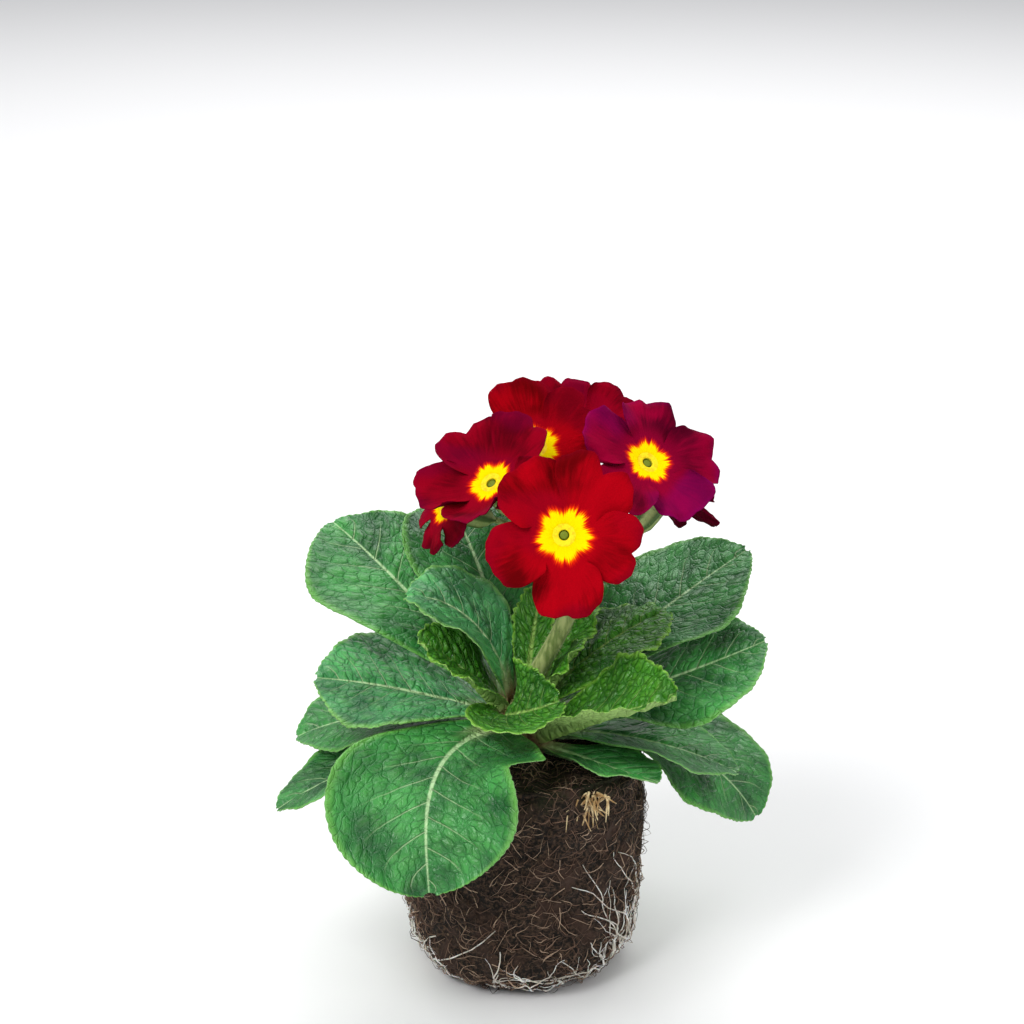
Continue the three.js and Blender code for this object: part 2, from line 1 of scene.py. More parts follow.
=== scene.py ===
import bpy
import numpy as np
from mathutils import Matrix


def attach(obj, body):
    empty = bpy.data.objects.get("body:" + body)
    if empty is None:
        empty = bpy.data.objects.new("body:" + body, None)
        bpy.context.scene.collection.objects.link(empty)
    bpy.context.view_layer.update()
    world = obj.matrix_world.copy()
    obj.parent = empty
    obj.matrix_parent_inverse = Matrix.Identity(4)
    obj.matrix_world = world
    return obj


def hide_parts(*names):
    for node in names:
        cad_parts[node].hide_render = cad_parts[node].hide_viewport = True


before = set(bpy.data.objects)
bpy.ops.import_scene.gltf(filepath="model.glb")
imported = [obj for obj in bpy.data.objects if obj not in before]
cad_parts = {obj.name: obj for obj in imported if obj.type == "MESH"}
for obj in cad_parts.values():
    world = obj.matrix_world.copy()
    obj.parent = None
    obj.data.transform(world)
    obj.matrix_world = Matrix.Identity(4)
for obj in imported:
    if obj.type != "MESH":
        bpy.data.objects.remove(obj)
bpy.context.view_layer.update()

# Table and light. The plant stands on a pale table in the soft light of a white room: a broad window high on
# the left, a weak one on the right, and a light from behind that lifts the leaves' edges. The camera looks a
# little down on it from the front. Colours are shown as they are, with no film curve over them.
MM = 0.001
TABLE_HALF = 4000
TABLE_LINES = 9
CAMERA_AT = (-3.6, -906.3, 517)
CAMERA_DIP = 20.85
SENSOR_WIDTH = 36
FRAME_PIXELS = 1024
FOCAL_PIXELS = 2800


def colour(red, green, blue):
    """Linear colour from the 0 to 255 values that the eye would read off a screen."""
    share = np.array([red, green, blue]) / 255
    linear = np.where(share <= 0.04045, share / 12.92, ((share + 0.055) / 1.055) ** 2.4)
    return (*linear.tolist(), 1.0)


class Wire:
    """One socket of a material. Sums, products and powers of wires and numbers add their Math nodes."""

    def __init__(self, socket):
        self.socket = socket

    def node(self, kind, settings=None, inputs=None, output=0):
        """Adds a node, sets its settings, then its sockets from values or wires, and gives one output."""
        tree = self.socket.id_data
        node = tree.nodes.new(kind)
        for key, value in (settings or {}).items():
            setattr(node, key, value)
        for key, value in (inputs or {}).items():
            if isinstance(value, Wire):
                tree.links.new(value.socket, node.inputs[key])
            else:
                node.inputs[key].default_value = value
        return Wire(node.outputs[output])

    def math(self, operation, *values):
        return self.node("ShaderNodeMath", {"operation": operation}, dict(enumerate(values)))

    def __add__(self, other):
        return self.math("ADD", self, other)

    def __radd__(self, other):
        return self.math("ADD", other, self)

    def __sub__(self, other):
        return self.math("SUBTRACT", self, other)

    def __rsub__(self, other):
        return self.math("SUBTRACT", other, self)

    def __mul__(self, other):
        return self.math("MULTIPLY", self, other)

    def __rmul__(self, other):
        return self.math("MULTIPLY", other, self)

    def __pow__(self, other):
        return self.math("POWER", self, other)

    def size(self):
        return self.math("ABSOLUTE", self)

    def step(self, low, high):
        """0 below low and 1 above high, with a smooth rise between. With low above high it falls instead."""
        settings = {"interpolation_type": "SMOOTHSTEP"}
        return self.node("ShaderNodeMapRange", settings, {"Value": self, "From Min": low, "From Max": high})

    def mix(self, first, second):
        """The first colour where this wire is 0 and the second where it is 1."""
        inputs = {0: self, 6: first, 7: second}
        return self.node("ShaderNodeMix", {"data_type": "RGBA"}, inputs, 2)

    def parts(self):
        """The three numbers of a vector."""
        split = self.node("ShaderNodeSeparateXYZ", None, {0: self})
        return [Wire(socket) for socket in split.socket.node.outputs]

    def noise(self, size, detail=2.0, roughness=0.5):
        """Cloudy values from about 0.25 to 0.75, with blots of a size in metres or in the wire's own unit."""
        inputs = {"Vector": self, "Scale": 1 / size, "Detail": detail, "Roughness": roughness}
        return self.node("ShaderNodeTexNoise", None, inputs)

    def cells(self, size, feature="F1"):
        """Distance to the nearest of scattered cells, or with DISTANCE_TO_EDGE to the edge between two."""
        return self.node("ShaderNodeTexVoronoi", {"feature": feature}, {"Vector": self, "Scale": 1 / size})

    def bump(self, depth):
        """Surface direction that this wire's heights, times a depth in metres, would give."""
        return self.node("ShaderNodeBump", None, {"Height": self, "Distance": depth})


def new_finish(name, **constants):
    """New material with its constants set: gives it, its Principled shader and the wire of places on it."""
    made = bpy.data.materials.new(name)
    made.use_nodes = True
    shader = made.node_tree.nodes["Principled BSDF"]
    for socket, value in constants.items():
        shader.inputs[socket.replace("_", " ")].default_value = value
    place = made.node_tree.nodes.new("ShaderNodeTexCoord").outputs["Object"]
    return made, shader, Wire(place)


def paint(shader, **wires):
    """Joins wires to the shader's sockets."""
    for socket, wire in wires.items():
        shader.id_data.links.new(wire.socket, shader.inputs[socket.replace("_", " ")])


def marks(place, name):
    """Wire of the numbers that a piece's mesh carries under a name."""
    node = place.node("ShaderNodeAttribute", {"attribute_name": name}).socket.node
    return Wire(node.outputs["Vector"])


table_finish, table_shader, table_place = new_finish("white_table", Roughness=0.6)
table_shader.inputs["Base Color"].default_value = colour(240, 240, 240)
paint(table_shader, Normal=table_place.noise(0.004).bump(0.00005))

table_lines = np.linspace(-TABLE_HALF, TABLE_HALF, TABLE_LINES) * MM
table_x, table_y = np.meshgrid(table_lines, table_lines, indexing="ij")
table_points = np.stack([table_x, table_y, 0 * table_x], -1).reshape(-1, 3)
table_index = np.arange(TABLE_LINES ** 2).reshape(TABLE_LINES, TABLE_LINES)
table_faces = np.stack(
    [table_index[:-1, :-1], table_index[1:, :-1], table_index[1:, 1:], table_index[:-1, 1:]], -1
).reshape(-1, 4)
table_mesh = bpy.data.meshes.new("table_top")
table_mesh.from_pydata(table_points.tolist(), [], table_faces.tolist())
table_mesh.materials.append(table_finish)
table_top = bpy.data.objects.new("table_top", table_mesh)
bpy.context.scene.collection.objects.link(table_top)

room = bpy.data.worlds.new("white_room")
room.use_nodes = True
room.node_tree.nodes["Background"].inputs["Color"].default_value = colour(250, 251, 255)
room.node_tree.nodes["Background"].inputs["Strength"].default_value = 0.4
bpy.context.scene.world = room
bpy.context.scene.view_settings.view_transform = "Standard"

for light_name, light_at, light_turn, light_side, light_power in [
    ("window_left", (-0.75, -0.75, 1.25), (42, 0, -42), 0.8, 18),
    ("window_right", (0.95, -0.6, 0.8), (58, 0, 55), 0.8, 4),
    ("light_behind", (0.1, 1.1, 1.3), (-42, 0, -6), 1.6, 21),
]:
    light = bpy.data.lights.new(light_name, "AREA")
    light.size = light_side
    light.energy = light_power
    lamp = bpy.data.objects.new(light_name, light)
    lamp.location = light_at
    lamp.rotation_euler = np.radians(light_turn)
    bpy.context.scene.collection.objects.link(lamp)

camera_lens = bpy.data.cameras.new("camera")
camera_lens.sensor_width = SENSOR_WIDTH
camera_lens.lens = SENSOR_WIDTH * FOCAL_PIXELS / FRAME_PIXELS
camera_lens.clip_end = 20
camera = bpy.data.objects.new("camera", camera_lens)
camera.location = np.array(CAMERA_AT) * MM
camera.rotation_euler = np.radians([90 - CAMERA_DIP, 0, 0])
bpy.context.scene.collection.objects.link(camera)
bpy.context.scene.camera = camera

# Compost ball. Moist peat compost that the roots have knitted together: it keeps the shape of the round pot
# that it was knocked out of, with a rounded foot and a crumbled skin full of short, pale and dark fibres.
BALL_HEIGHT = 84
BALL_TOP_RADIUS = 44
BALL_WALL_RADIUS = 41
BALL_FOOT_RADIUS = 29
FOOT_HEIGHT = 16
FOOT_SHARPNESS = 2.4
SHOULDER_HEIGHT = 7
SHOULDER_DEPTH = 3.5
TOP_DOME = 2.5
WALL_STEPS = 300
BALL_ROWS = 175
BALL_SIDES = 300
CRUMB_FADE = 4
CRUMB_SINK = 0.5
FLOOR_GAP = 0.1
PEAT_FIBRES = 4600
FIBRE_POINTS = 5
FIBRE_SIDES = 3


def smooth(value, low, high):
    """0 below low, 1 above high, and between them 3 squares less 2 cubes of the share."""
    share = np.clip((value - low) / (high - low), 0, 1)
    return share * share * (3 - 2 * share)


def spot(x, y, z):
    """Points from the three numbers of each, spread over one grid."""
    return np.stack(np.broadcast_arrays(x, y, z), -1)


def around(sides):
    """Angles evenly round a full turn."""
    return np.linspace(0, 2 * np.pi, sides, endpoint=False)


def jumble(values, stretch=43758.5453):
    """Numbers from 0 to 1 that look random but are the same each run: the fraction of a stretched sine."""
    wild = np.sin(values) * stretch
    return wild - np.floor(wild)


def crumble(points, size, seed):
    """Smooth random heights, -1 to 1: a random value on each corner of a lattice, blended over its cells."""
    cell = points / size
    low = np.floor(cell)
    part = smooth(cell - low, 0, 1)
    total = 0
    for corner in np.ndindex(2, 2, 2):
        weight = np.where(corner, part, 1 - part).prod(axis=-1)
        total = total + weight * jumble((low + corner) @ np.array([127.1, 311.7, 74.7]) + seed)
    return 2 * total - 1


def ball_radius(z):
    """Cone frustum of the pot, less a rounded foot and a rounded shoulder."""
    wall = BALL_WALL_RADIUS + (BALL_TOP_RADIUS - BALL_WALL_RADIUS) * z / BALL_HEIGHT
    foot = (BALL_WALL_RADIUS - BALL_FOOT_RADIUS) * np.clip(1 - z / FOOT_HEIGHT, 0, 1) ** FOOT_SHARPNESS
    return wall - foot - SHOULDER_DEPTH * smooth(z, BALL_HEIGHT - SHOULDER_HEIGHT, BALL_HEIGHT) ** 2


wall_z = np.linspace(0, BALL_HEIGHT, WALL_STEPS)
top_share = np.linspace(1, 0.06, 120)[1:]
skin_r = np.concatenate([ball_radius(wall_z), ball_radius(BALL_HEIGHT) * top_share])
skin_z = np.concatenate([wall_z, BALL_HEIGHT - TOP_DOME * top_share ** 4])
skin_way = np.concatenate([[0], np.cumsum(np.hypot(np.diff(skin_r), np.diff(skin_z)))])
SKIN_LENGTH = skin_way[-1]


def on_skin(angle, way, out):
    """Point of the ball's skin at an angle and a way up from the foot's rim, raised out along its normal.
    The wall swells in slow waves, 3, 5 and 9 of them round the ball, that lean as they climb."""
    radius = np.interp(way, skin_way, skin_r)
    height = np.interp(way, skin_way, skin_z)
    ahead = np.interp(way + 0.5, skin_way, skin_r) - np.interp(way - 0.5, skin_way, skin_r)
    rise = np.interp(way + 0.5, skin_way, skin_z) - np.interp(way - 0.5, skin_way, skin_z)
    long = np.hypot(ahead, rise) + 1e-9
    swell = 0.6 * np.sin(3 * angle + 0.06 * height) + 0.5 * np.sin(5 * angle - 0.09 * height + 1)
    swell = swell + 0.4 * np.sin(9 * angle + 0.21 * height + 2)
    radius = radius + swell * smooth(height, 0, 1.5) * smooth(radius, 0, 30) + out * rise / long
    height = height - out * ahead / long
    return spot(radius * np.cos(angle), radius * np.sin(angle), height)


def crumbs(points):
    """Height of the crumbled skin: three sizes of lumps, each about half as high as the one before."""
    return 1.2 * crumble(points, 8, 1) + 0.8 * crumble(points, 3.2, 2) + 0.45 * crumble(points, 1.4, 3)


def build_piece(name, points, faces, made, slot, nodes=(), **numbers):
    """Smooth mesh of points in mm and arrays of faces, with its named numbers, riding on the one body."""
    mesh = bpy.data.meshes.new(name)
    mesh.from_pydata((points * MM).tolist(), [], [face for group in faces for face in group.tolist()])
    for key, values in numbers.items():
        carried = mesh.attributes.new(key, "FLOAT_VECTOR", "POINT")
        carried.data.foreach_set("vector", values.astype("f").ravel())
    mesh.shade_smooth()
    mesh.materials.append(made)
    piece = bpy.data.objects.new(name, mesh)
    bpy.context.scene.collection.objects.link(piece)
    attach(piece, "root")
    if nodes:
        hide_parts(*nodes)


def turned_faces(rows, sides):
    """Quads between rings, each ring counterclockwise seen from the last one, and a cap on both ends."""
    ring = np.arange(sides)
    following = (ring + 1) % sides
    start = np.arange(rows - 1)[:, None] * sides
    quads = np.stack([start + ring, start + following, start + sides + following, start + sides + ring], -1)
    return [quads.reshape(-1, 4), ring[None, ::-1], (rows - 1) * sides + ring[None]]


ball_angle = around(BALL_SIDES)[None]
ball_way = np.linspace(0, SKIN_LENGTH, BALL_ROWS)[:, None]
ball_smooth = on_skin(ball_angle, ball_way, 0 * ball_way)
ball_lift = (crumbs(ball_smooth) - CRUMB_SINK) * smooth(ball_way, 0, CRUMB_FADE)
ball_skin = on_skin(ball_angle, ball_way, ball_lift)
base_rings = ball_skin[0] * np.array([0.2, 0.6])[:, None, None]
ball_points = np.concatenate([base_rings, ball_skin]).reshape(-1, 3)
ball_faces = turned_faces(BALL_ROWS + len(base_rings), BALL_SIDES)

peat_finish, peat_shader, peat_place = new_finish("moist_peat", Specular_IOR_Level=0.25)
peat_coarse = peat_place.noise(0.009, 4)
peat_fine = peat_place.noise(0.0013, 4, 0.7)
peat_dark = peat_fine.step(0.44, 0.64).mix(colour(22, 18, 14), colour(82, 64, 50))
peat_brown = peat_coarse.step(0.45, 0.7).mix(peat_dark, colour(68, 51, 42))
peat_specks = peat_place.cells(0.0042).step(0.16, 0.06) * peat_place.noise(0.02).step(0.45, 0.6)
peat_pale = (peat_specks * 0.5).mix(peat_brown, colour(150, 124, 100))
peat_height = peat_place.parts()[2]
# Patches on top of the ball turn dark moss green: partly moss, partly painted shade under the leaves.
moss_and_painted_shade = peat_height.step(0.072, 0.083) * peat_place.noise(0.012, 3).step(0.42, 0.56)
moss_and_shade_tint = (moss_and_painted_shade * 0.75).mix(peat_pale, colour(32, 36, 18))
peat_grain = peat_fine + peat_place.cells(0.0016) * 0.6
paint(peat_shader, Base_Color=moss_and_shade_tint, Roughness=0.78 + 0.2 * peat_coarse, Normal=peat_grain.bump(0.0009))
build_piece("peat_ball", ball_points, ball_faces, peat_finish, "soil", ["compost_ball"])


def strands(paths, radii, sides):
    """Round threads: a ring of a radius about each point of each path, square to it, joined and capped."""
    along = np.gradient(paths, axis=1)
    along /= np.linalg.norm(along, axis=-1, keepdims=True) + 1e-9
    chord = np.abs(paths[:, -1] - paths[:, 0])
    upright = np.eye(3)[chord.argmin(axis=-1)][:, None]
    across = np.cross(along, upright)
    across /= np.linalg.norm(across, axis=-1, keepdims=True)
    third = np.cross(along, across)
    turn = around(sides)[:, None]
    ring = np.cos(turn) * across[:, :, None] + np.sin(turn) * third[:, :, None]
    points = paths[:, :, None] + ring * radii[:, :, None, None]
    count, steps = paths.shape[:2]
    shift = np.arange(count)[:, None, None] * steps * sides
    faces = [(group[None] + shift).reshape(-1, group.shape[-1]) for group in turned_faces(steps, sides)]
    return points.reshape(-1, 3), faces


def creep(angle, way, heading, length, turns, lift):
    """Paths over the ball's skin whose heading turns a little at each step. A heading of 0 runs along the
    rim, and a quarter turn more runs straight up."""
    heading = heading[:, None] + np.cumsum(turns, axis=1)
    stride = length[:, None] / turns.shape[1]
    girth = np.maximum(np.interp(way, skin_way, skin_r), 9)[:, None]
    way = np.clip(way[:, None] + np.cumsum(np.sin(heading), axis=1) * stride, 0.6, SKIN_LENGTH - 4)
    angle = angle[:, None] + np.cumsum(np.cos(heading), axis=1) * stride / girth
    smooth_path = on_skin(angle, way, 0 * way)
    return on_skin(angle, way, crumbs(smooth_path) * smooth(way, 0, CRUMB_FADE) - CRUMB_SINK + lift)


peat_random = np.random.default_rng(11)
fibre_share = np.linspace(0, 1, FIBRE_POINTS)[None]
fibre_paths = creep(
    peat_random.uniform(0, 2 * np.pi, PEAT_FIBRES),
    SKIN_LENGTH * peat_random.uniform(0.01, 0.97, PEAT_FIBRES),
    peat_random.normal(0, 0.9, PEAT_FIBRES) + np.pi * peat_random.integers(0, 2, PEAT_FIBRES),
    peat_random.gamma(4.0, 1.5, PEAT_FIBRES) + 2,
    peat_random.normal(0, 0.32, (PEAT_FIBRES, FIBRE_POINTS)),
    peat_random.gamma(2.0, 0.45, PEAT_FIBRES)[:, None] * np.sin(np.pi * fibre_share) + 0.1,
)
fibre_radius = peat_random.uniform(0.09, 0.24, PEAT_FIBRES)[:, None] * (1 - 0.6 * fibre_share)
fibre_points, fibre_faces = strands(fibre_paths, fibre_radius, FIBRE_SIDES)
fibre_points[:, 2] = np.maximum(fibre_points[:, 2], FLOOR_GAP)
fibre_tone = np.repeat(peat_random.uniform(0, 1, (PEAT_FIBRES, 3)), FIBRE_POINTS * FIBRE_SIDES, axis=0)

fibre_finish, fibre_shader, fibre_place = new_finish("peat_fibre", Roughness=0.85)
fibre_pick = marks(fibre_place, "tone").parts()
fibre_brown = fibre_pick[0].mix(colour(46, 34, 28), colour(132, 102, 82))
fibre_straw = fibre_pick[1].step(0.66, 0.97).mix(fibre_brown, colour(192, 164, 138))
paint(fibre_shader, Base_Color=fibre_straw)
build_piece("peat_fibres", fibre_points, fibre_faces, fibre_finish, "soil", tone=fibre_tone)

# White roots. They grew down the inside of the pot, circled its foot and branched upwards, and now lie
# pressed on the skin of the ball, thick on the right and thin on the left. They are waxy and off-white.
ROOTS = 76
ROOT_BRANCHES = 130
HOOP_ROOTS = 12
ROOT_POINTS = 22
ROOT_SIDES = 5
RIGHT_ROOTS_AT = -0.25
LEFT_ROOTS_AT = -2.8

root_random = np.random.default_rng(5)
root_share = np.linspace(0, 1, ROOT_POINTS)[None]
root_angle = np.concatenate([
    root_random.uniform(-np.pi, np.pi, ROOTS // 2),
    root_random.normal(RIGHT_ROOTS_AT, 0.3, ROOTS // 4),
    root_random.normal(LEFT_ROOTS_AT, 0.25, ROOTS - ROOTS // 2 - ROOTS // 4),
])
root_paths = creep(
    root_angle,
    root_random.uniform(2, 9, ROOTS),
    np.pi / 2 + root_random.normal(0, 0.3, ROOTS),
    root_random.uniform(8, 26, ROOTS) + 38 * np.exp(-((root_angle - RIGHT_ROOTS_AT) / 0.4) ** 2),
    root_random.normal(0, 0.16, (ROOTS, ROOT_POINTS)),
    0.35 + 0.4 * root_random.random((ROOTS, 1)) * np.sin(2 * np.pi * root_share) ** 2,
)
branch_from = root_random.integers(0, ROOTS, ROOT_BRANCHES)
branch_step = root_random.integers(3, ROOT_POINTS - 4, ROOT_BRANCHES)
branch_start = root_paths[branch_from, branch_step]
branch_paths = creep(
    np.arctan2(branch_start[:, 1], branch_start[:, 0]),
    np.interp(branch_start[:, 2], skin_z[:WALL_STEPS], skin_way[:WALL_STEPS]),
    np.pi / 2 + root_random.choice([-0.8, 0.8], ROOT_BRANCHES) + root_random.normal(0, 0.3, ROOT_BRANCHES),
    root_random.uniform(4, 12, ROOT_BRANCHES),
    root_random.normal(0, 0.25, (ROOT_BRANCHES, ROOT_POINTS)),
    0.3 + 0 * root_share,
)
hoop_paths = creep(
    root_random.uniform(-np.pi, np.pi, HOOP_ROOTS),
    root_random.uniform(5, 14, HOOP_ROOTS),
    root_random.normal(0, 0.08, HOOP_ROOTS),
    root_random.uniform(20, 60, HOOP_ROOTS),
    root_random.normal(0, 0.08, (HOOP_ROOTS, ROOT_POINTS)),
    0.4 + 0 * root_share,
)
root_radius = np.concatenate([
    root_random.uniform(0.24, 0.48, ROOTS)[:, None] * (1 - 0.6 * root_share),
    root_random.uniform(0.16, 0.28, ROOT_BRANCHES)[:, None] * (1 - 0.6 * root_share),
    root_random.uniform(0.22, 0.42, HOOP_ROOTS)[:, None] * (1 - 0.4 * root_share),
])
all_root_paths = np.concatenate([root_paths, branch_paths, hoop_paths])
root_points, root_faces = strands(all_root_paths, root_radius, ROOT_SIDES)
root_points[:, 2] = np.maximum(root_points[:, 2], FLOOR_GAP)

root_finish, root_shader, root_place = new_finish("white_root", Roughness=0.5, Specular_IOR_Level=0.4)
root_shader.inputs["Subsurface Weight"].default_value = 0.1
root_shader.inputs["Subsurface Scale"].default_value = 0.001
root_tint = root_place.noise(0.006, 3).step(0.4, 0.62).mix(colour(212, 204, 190), colour(246, 244, 238))
paint(root_shader, Base_Color=root_tint, Normal=root_place.noise(0.0008).bump(0.0002))
build_piece("white_roots", root_points, root_faces, root_finish, "root", ["root_net"])

# Dry sheath. A tuft of straw-coloured strips, left of the bases of old leaves, sticks out of the ball's rim
# at the front right. The strips are thin, stiff and split, and each bends its own way.
SHEATH_STRIPS = 46
SHEATH_AT = (22.5, -36.5, 80)

sheath_random = np.random.default_rng(3)
sheath_share = np.linspace(0, 1, 8)[None, :, None]
sheath_way = sheath_random.normal(0, 1, (SHEATH_STRIPS, 1, 3)) * (0.55, 0.25, 0.5) + (0.1, -0.55, -0.6)
sheath_way /= np.linalg.norm(sheath_way, axis=-1, keepdims=True)
sheath_length = sheath_random.uniform(3, 9, (SHEATH_STRIPS, 1, 1))
sheath_root = np.array(SHEATH_AT) + sheath_random.normal(0, 1, (SHEATH_STRIPS, 1, 3)) * (3.2, 1.0, 1.2)
sheath_bend = sheath_random.normal(0, 1.6, (SHEATH_STRIPS, 1, 3)) - (0, 0, 1.5)
sheath_paths = sheath_root + sheath_way * sheath_length * sheath_share + sheath_bend * sheath_share ** 2
sheath_radius = sheath_random.uniform(0.25, 0.62, (SHEATH_STRIPS, 1)) * (1.15 - sheath_share[:, :, 0]) ** 0.7
sheath_points, sheath_faces = strands(sheath_paths, sheath_radius, 4)

straw_finish, straw_shader, straw_place = new_finish("dry_sheath", Roughness=0.7)
straw_tint = straw_place.noise(0.003, 3).step(0.38, 0.62).mix(colour(168, 132, 84), colour(226, 204, 158))
paint(straw_shader, Base_Color=straw_tint, Normal=straw_place.noise(0.0006).bump(0.0003))
build_piece("dry_sheaths", sheath_points, sheath_faces, straw_finish, "root")

# Crown. The short, fleshy rootstock stands in the compost and carries every leaf and the flower stalk. The
# feet of the leaf stalks make it ribbed, pale green above and reddish brown where it meets the compost.
CROWN_FOOT = 82
CROWN_TOP = BALL_HEIGHT + 16.5
CROWN_RADIUS = 7
CROWN_TAPER = 2.8
CROWN_ROWS = 46
CROWN_SIDES = 72
CLEARANCE = 0.35


def crown_radius(z):
    """The full radius at the compost, less the taper at the top, with a smooth step between."""
    return CROWN_RADIUS - CROWN_TAPER * smooth(z, BALL_HEIGHT, CROWN_TOP)


crown_z = np.linspace(CROWN_FOOT, CROWN_TOP, CROWN_ROWS)[:, None]
crown_angle = around(CROWN_SIDES)[None]
crown_ribs = 0.35 * np.cos(9 * crown_angle + 0.2 * crown_z) * smooth(crown_z, BALL_HEIGHT, BALL_HEIGHT + 4)
crown_wide = crown_radius(crown_z) + crown_ribs
crown_wide = crown_wide * (1 - 0.75 * smooth(crown_z, CROWN_TOP - 1.2, CROWN_TOP) ** 2)
crown_points = spot(crown_wide * np.cos(crown_angle), crown_wide * np.sin(crown_angle), crown_z)
crown_finish, crown_shader, crown_place = new_finish("crown_flesh", Roughness=0.55)
crown_high = crown_place.parts()[2].step(0.085, 0.095)
crown_low_tint = crown_place.noise(0.003, 3).step(0.4, 0.6).mix(colour(96, 52, 38), colour(158, 110, 78))
crown_tint = crown_high.mix(crown_low_tint, colour(158, 168, 104))
paint(crown_shader, Base_Color=crown_tint, Normal=crown_place.noise(0.0012, 3).bump(0.0006))
crown_faces = turned_faces(CROWN_ROWS, CROWN_SIDES)
build_piece("crown", crown_points.reshape(-1, 3), crown_faces, crown_finish, "crown", ["crown"])

# Leaves. Each is a soft, scalloped blade on a broad, winged stalk that clasps the crown. The rib and veins
# are pale, sunk in the upper face and raised below, and the face between them is blistered. Outer leaves are
# deep blue-green, and inner ones are smaller, brighter and more crinkled.
RIB_STEPS = 40
PETIOLE_SHARE = 0.11
VEIN_SLANT = 0.16
VEIN_SWEEP = 0.15
SIDE_VEINS = 8
TOOTH_PITCH = 2.8
FRILL_PITCH = 10
BLISTER_SIZE = 4.4
WING_PLACE = 0.19
WING_REACH = 0.15
BLADE_END = 0.99
LEAF_THICKNESS = 0.4

# name, then in mm and degrees: height on the crown, azimuth, rise, droop, swing, length, width, roll, how
# much it is cupped, wave of the margin, age from 0 to 1, and width of the wing on one side of the foot
LEAVES = [
    ("front_left", 7.6, -143, 9, 90, 72, 88, 72, 4, 0.4, 3, 1, 22),
    ("left_low", 6, 166, 7, 35, 16, 78, 50, -4, 0.1, 1.5, 1, 0),
    ("left_front", 2.8, -163, 2, 34, 0, 86, 36, 4, 0.15, 1.5, 1, 0),
    ("right_front", 2.6, -41, 0, 2, 9, 52, 30, -9, 0.2, 1.2, 1, 0),
    ("right_low", 5.7, -11, 3, 32, 3.5, 73, 40, -2, 0.15, 1.5, 1, 0),
    ("right_hanging", 2.2, 16, 3, 62, -46, 90, 56, 8, 0.1, 2, 1, 0),
    ("back_right_low", 5, 52, 12, 46, 8, 90, 56, 0, 0, 2.5, 1, 0),
    ("back_low", 2.8, 92, 4, 60, -4, 92, 58, 0, 0, 2.5, 1, 0),
    ("back_left_low", 5, 128, 5, 46, 0, 88, 54, 0, 0, 2.5, 1, 0),
    ("left_upper", 9.8, 172, 15, 13, 5, 70, 60, -12, 0.1, 1.5, 0.8, 0),
    ("back_left", 11.8, 147, 40, 25, -14, 101, 60, -12, 0, 2.5, 1, 0),
    ("back_centre", 13.4, 112, 54, 44, 0, 90, 54, 0, 0.2, 2.5, 1, 0),
    ("back_right", 10.8, 78, 44, 38, 0, 92, 54, 0, 0.2, 2.5, 1, 0),
    ("right_tall", 9.6, 34, 29, 2, -13, 100, 62, 4, 0.1, 2, 1, 0),
    ("right_broad", 8, 5, 17, -8, -4, 86, 59, 15, 0, 2, 1, 0),
    ("right_cupped", 5.2, -50, 30, 10, 36, 65, 43, 14, 0.6, 1.2, 0.3, 0),
    ("right_inner", 12.4, 20, 44, 34, 0, 60, 42, -2, 0, 1.2, 0.4, 0),
    ("front_cupped", 10.6, -130, 31, 15, 152, 43, 37, 36, 0.6, 0.8, 0.3, 0),
    ("left_arching", 14.9, 160, 80, 92, 14, 60, 50, 0, 0.2, 1.5, 0.7, 0),
    ("left_inner", 12.6, -162, 51, 18, -2, 46, 28, -26, 0.4, 1.2, 0.1, 0),
    ("back_inner", 15.2, 75, 66, 34, 2, 42, 15, 0, 0.4, 1, 0, 0),
    ("right_young", 14.1, 47, 48, 10, 4, 45, 21, 0, 0.2, 1, 0.1, 0),
    ("heart", 14.6, -10, 64, 16, 6, 31, 13, 0, 0, 0.8, 0, 0),
]


def scattered(x, y, size, seed):
    """Distance to the nearest of scattered middles, one in each square of a size, as a share of that size."""
    column, row = np.floor(x / size), np.floor(y / size)
    nearest = np.full(np.broadcast(x, y).shape, 9.0)
    for across, up in np.ndindex(3, 3):
        at_x, at_y = column + across - 1, row + up - 1
        middle_x = at_x + jumble(at_x * 127.1 + at_y * 311.7 + seed)
        middle_y = at_y + jumble(at_x * 269.5 + at_y * 183.3 + seed, 28001.8384)
        nearest = np.minimum(nearest, np.hypot(x / size - middle_x, y / size - middle_y))
    return nearest


def half_width(width, s, age):
    """A winged stalk that narrows from the crown, and a blade that widens to a rounded end."""
    blade = np.sin(np.pi * np.clip(s, 0, 1) ** (1.5 + 0.4 * age)) ** (0.5 + 0.25 * age)
    return width / 2 * (blade + PETIOLE_SHARE * (1 - s) * (1 - blade))


def two_faced(top, under):
    """Closed thin sheet: a grid of points on top, the grid under it turned over, and a hem round both."""
    rows, columns = top.shape[:2]
    index = np.arange(rows * columns).reshape(rows, columns)
    edge = np.concatenate([index[0, :-1], index[:-1, -1], index[-1, :0:-1], index[:0:-1, 0]])
    following = np.roll(edge, -1)
    shift = rows * columns
    cells = np.stack([index[:-1, :-1], index[1:, :-1], index[1:, 1:], index[:-1, 1:]], -1).reshape(-1, 4)
    hem = np.stack([edge, following, following + shift, edge + shift], -1)
    return np.concatenate([top.reshape(-1, 3), under.reshape(-1, 3)]), [cells, cells[:, ::-1] + shift, hem]


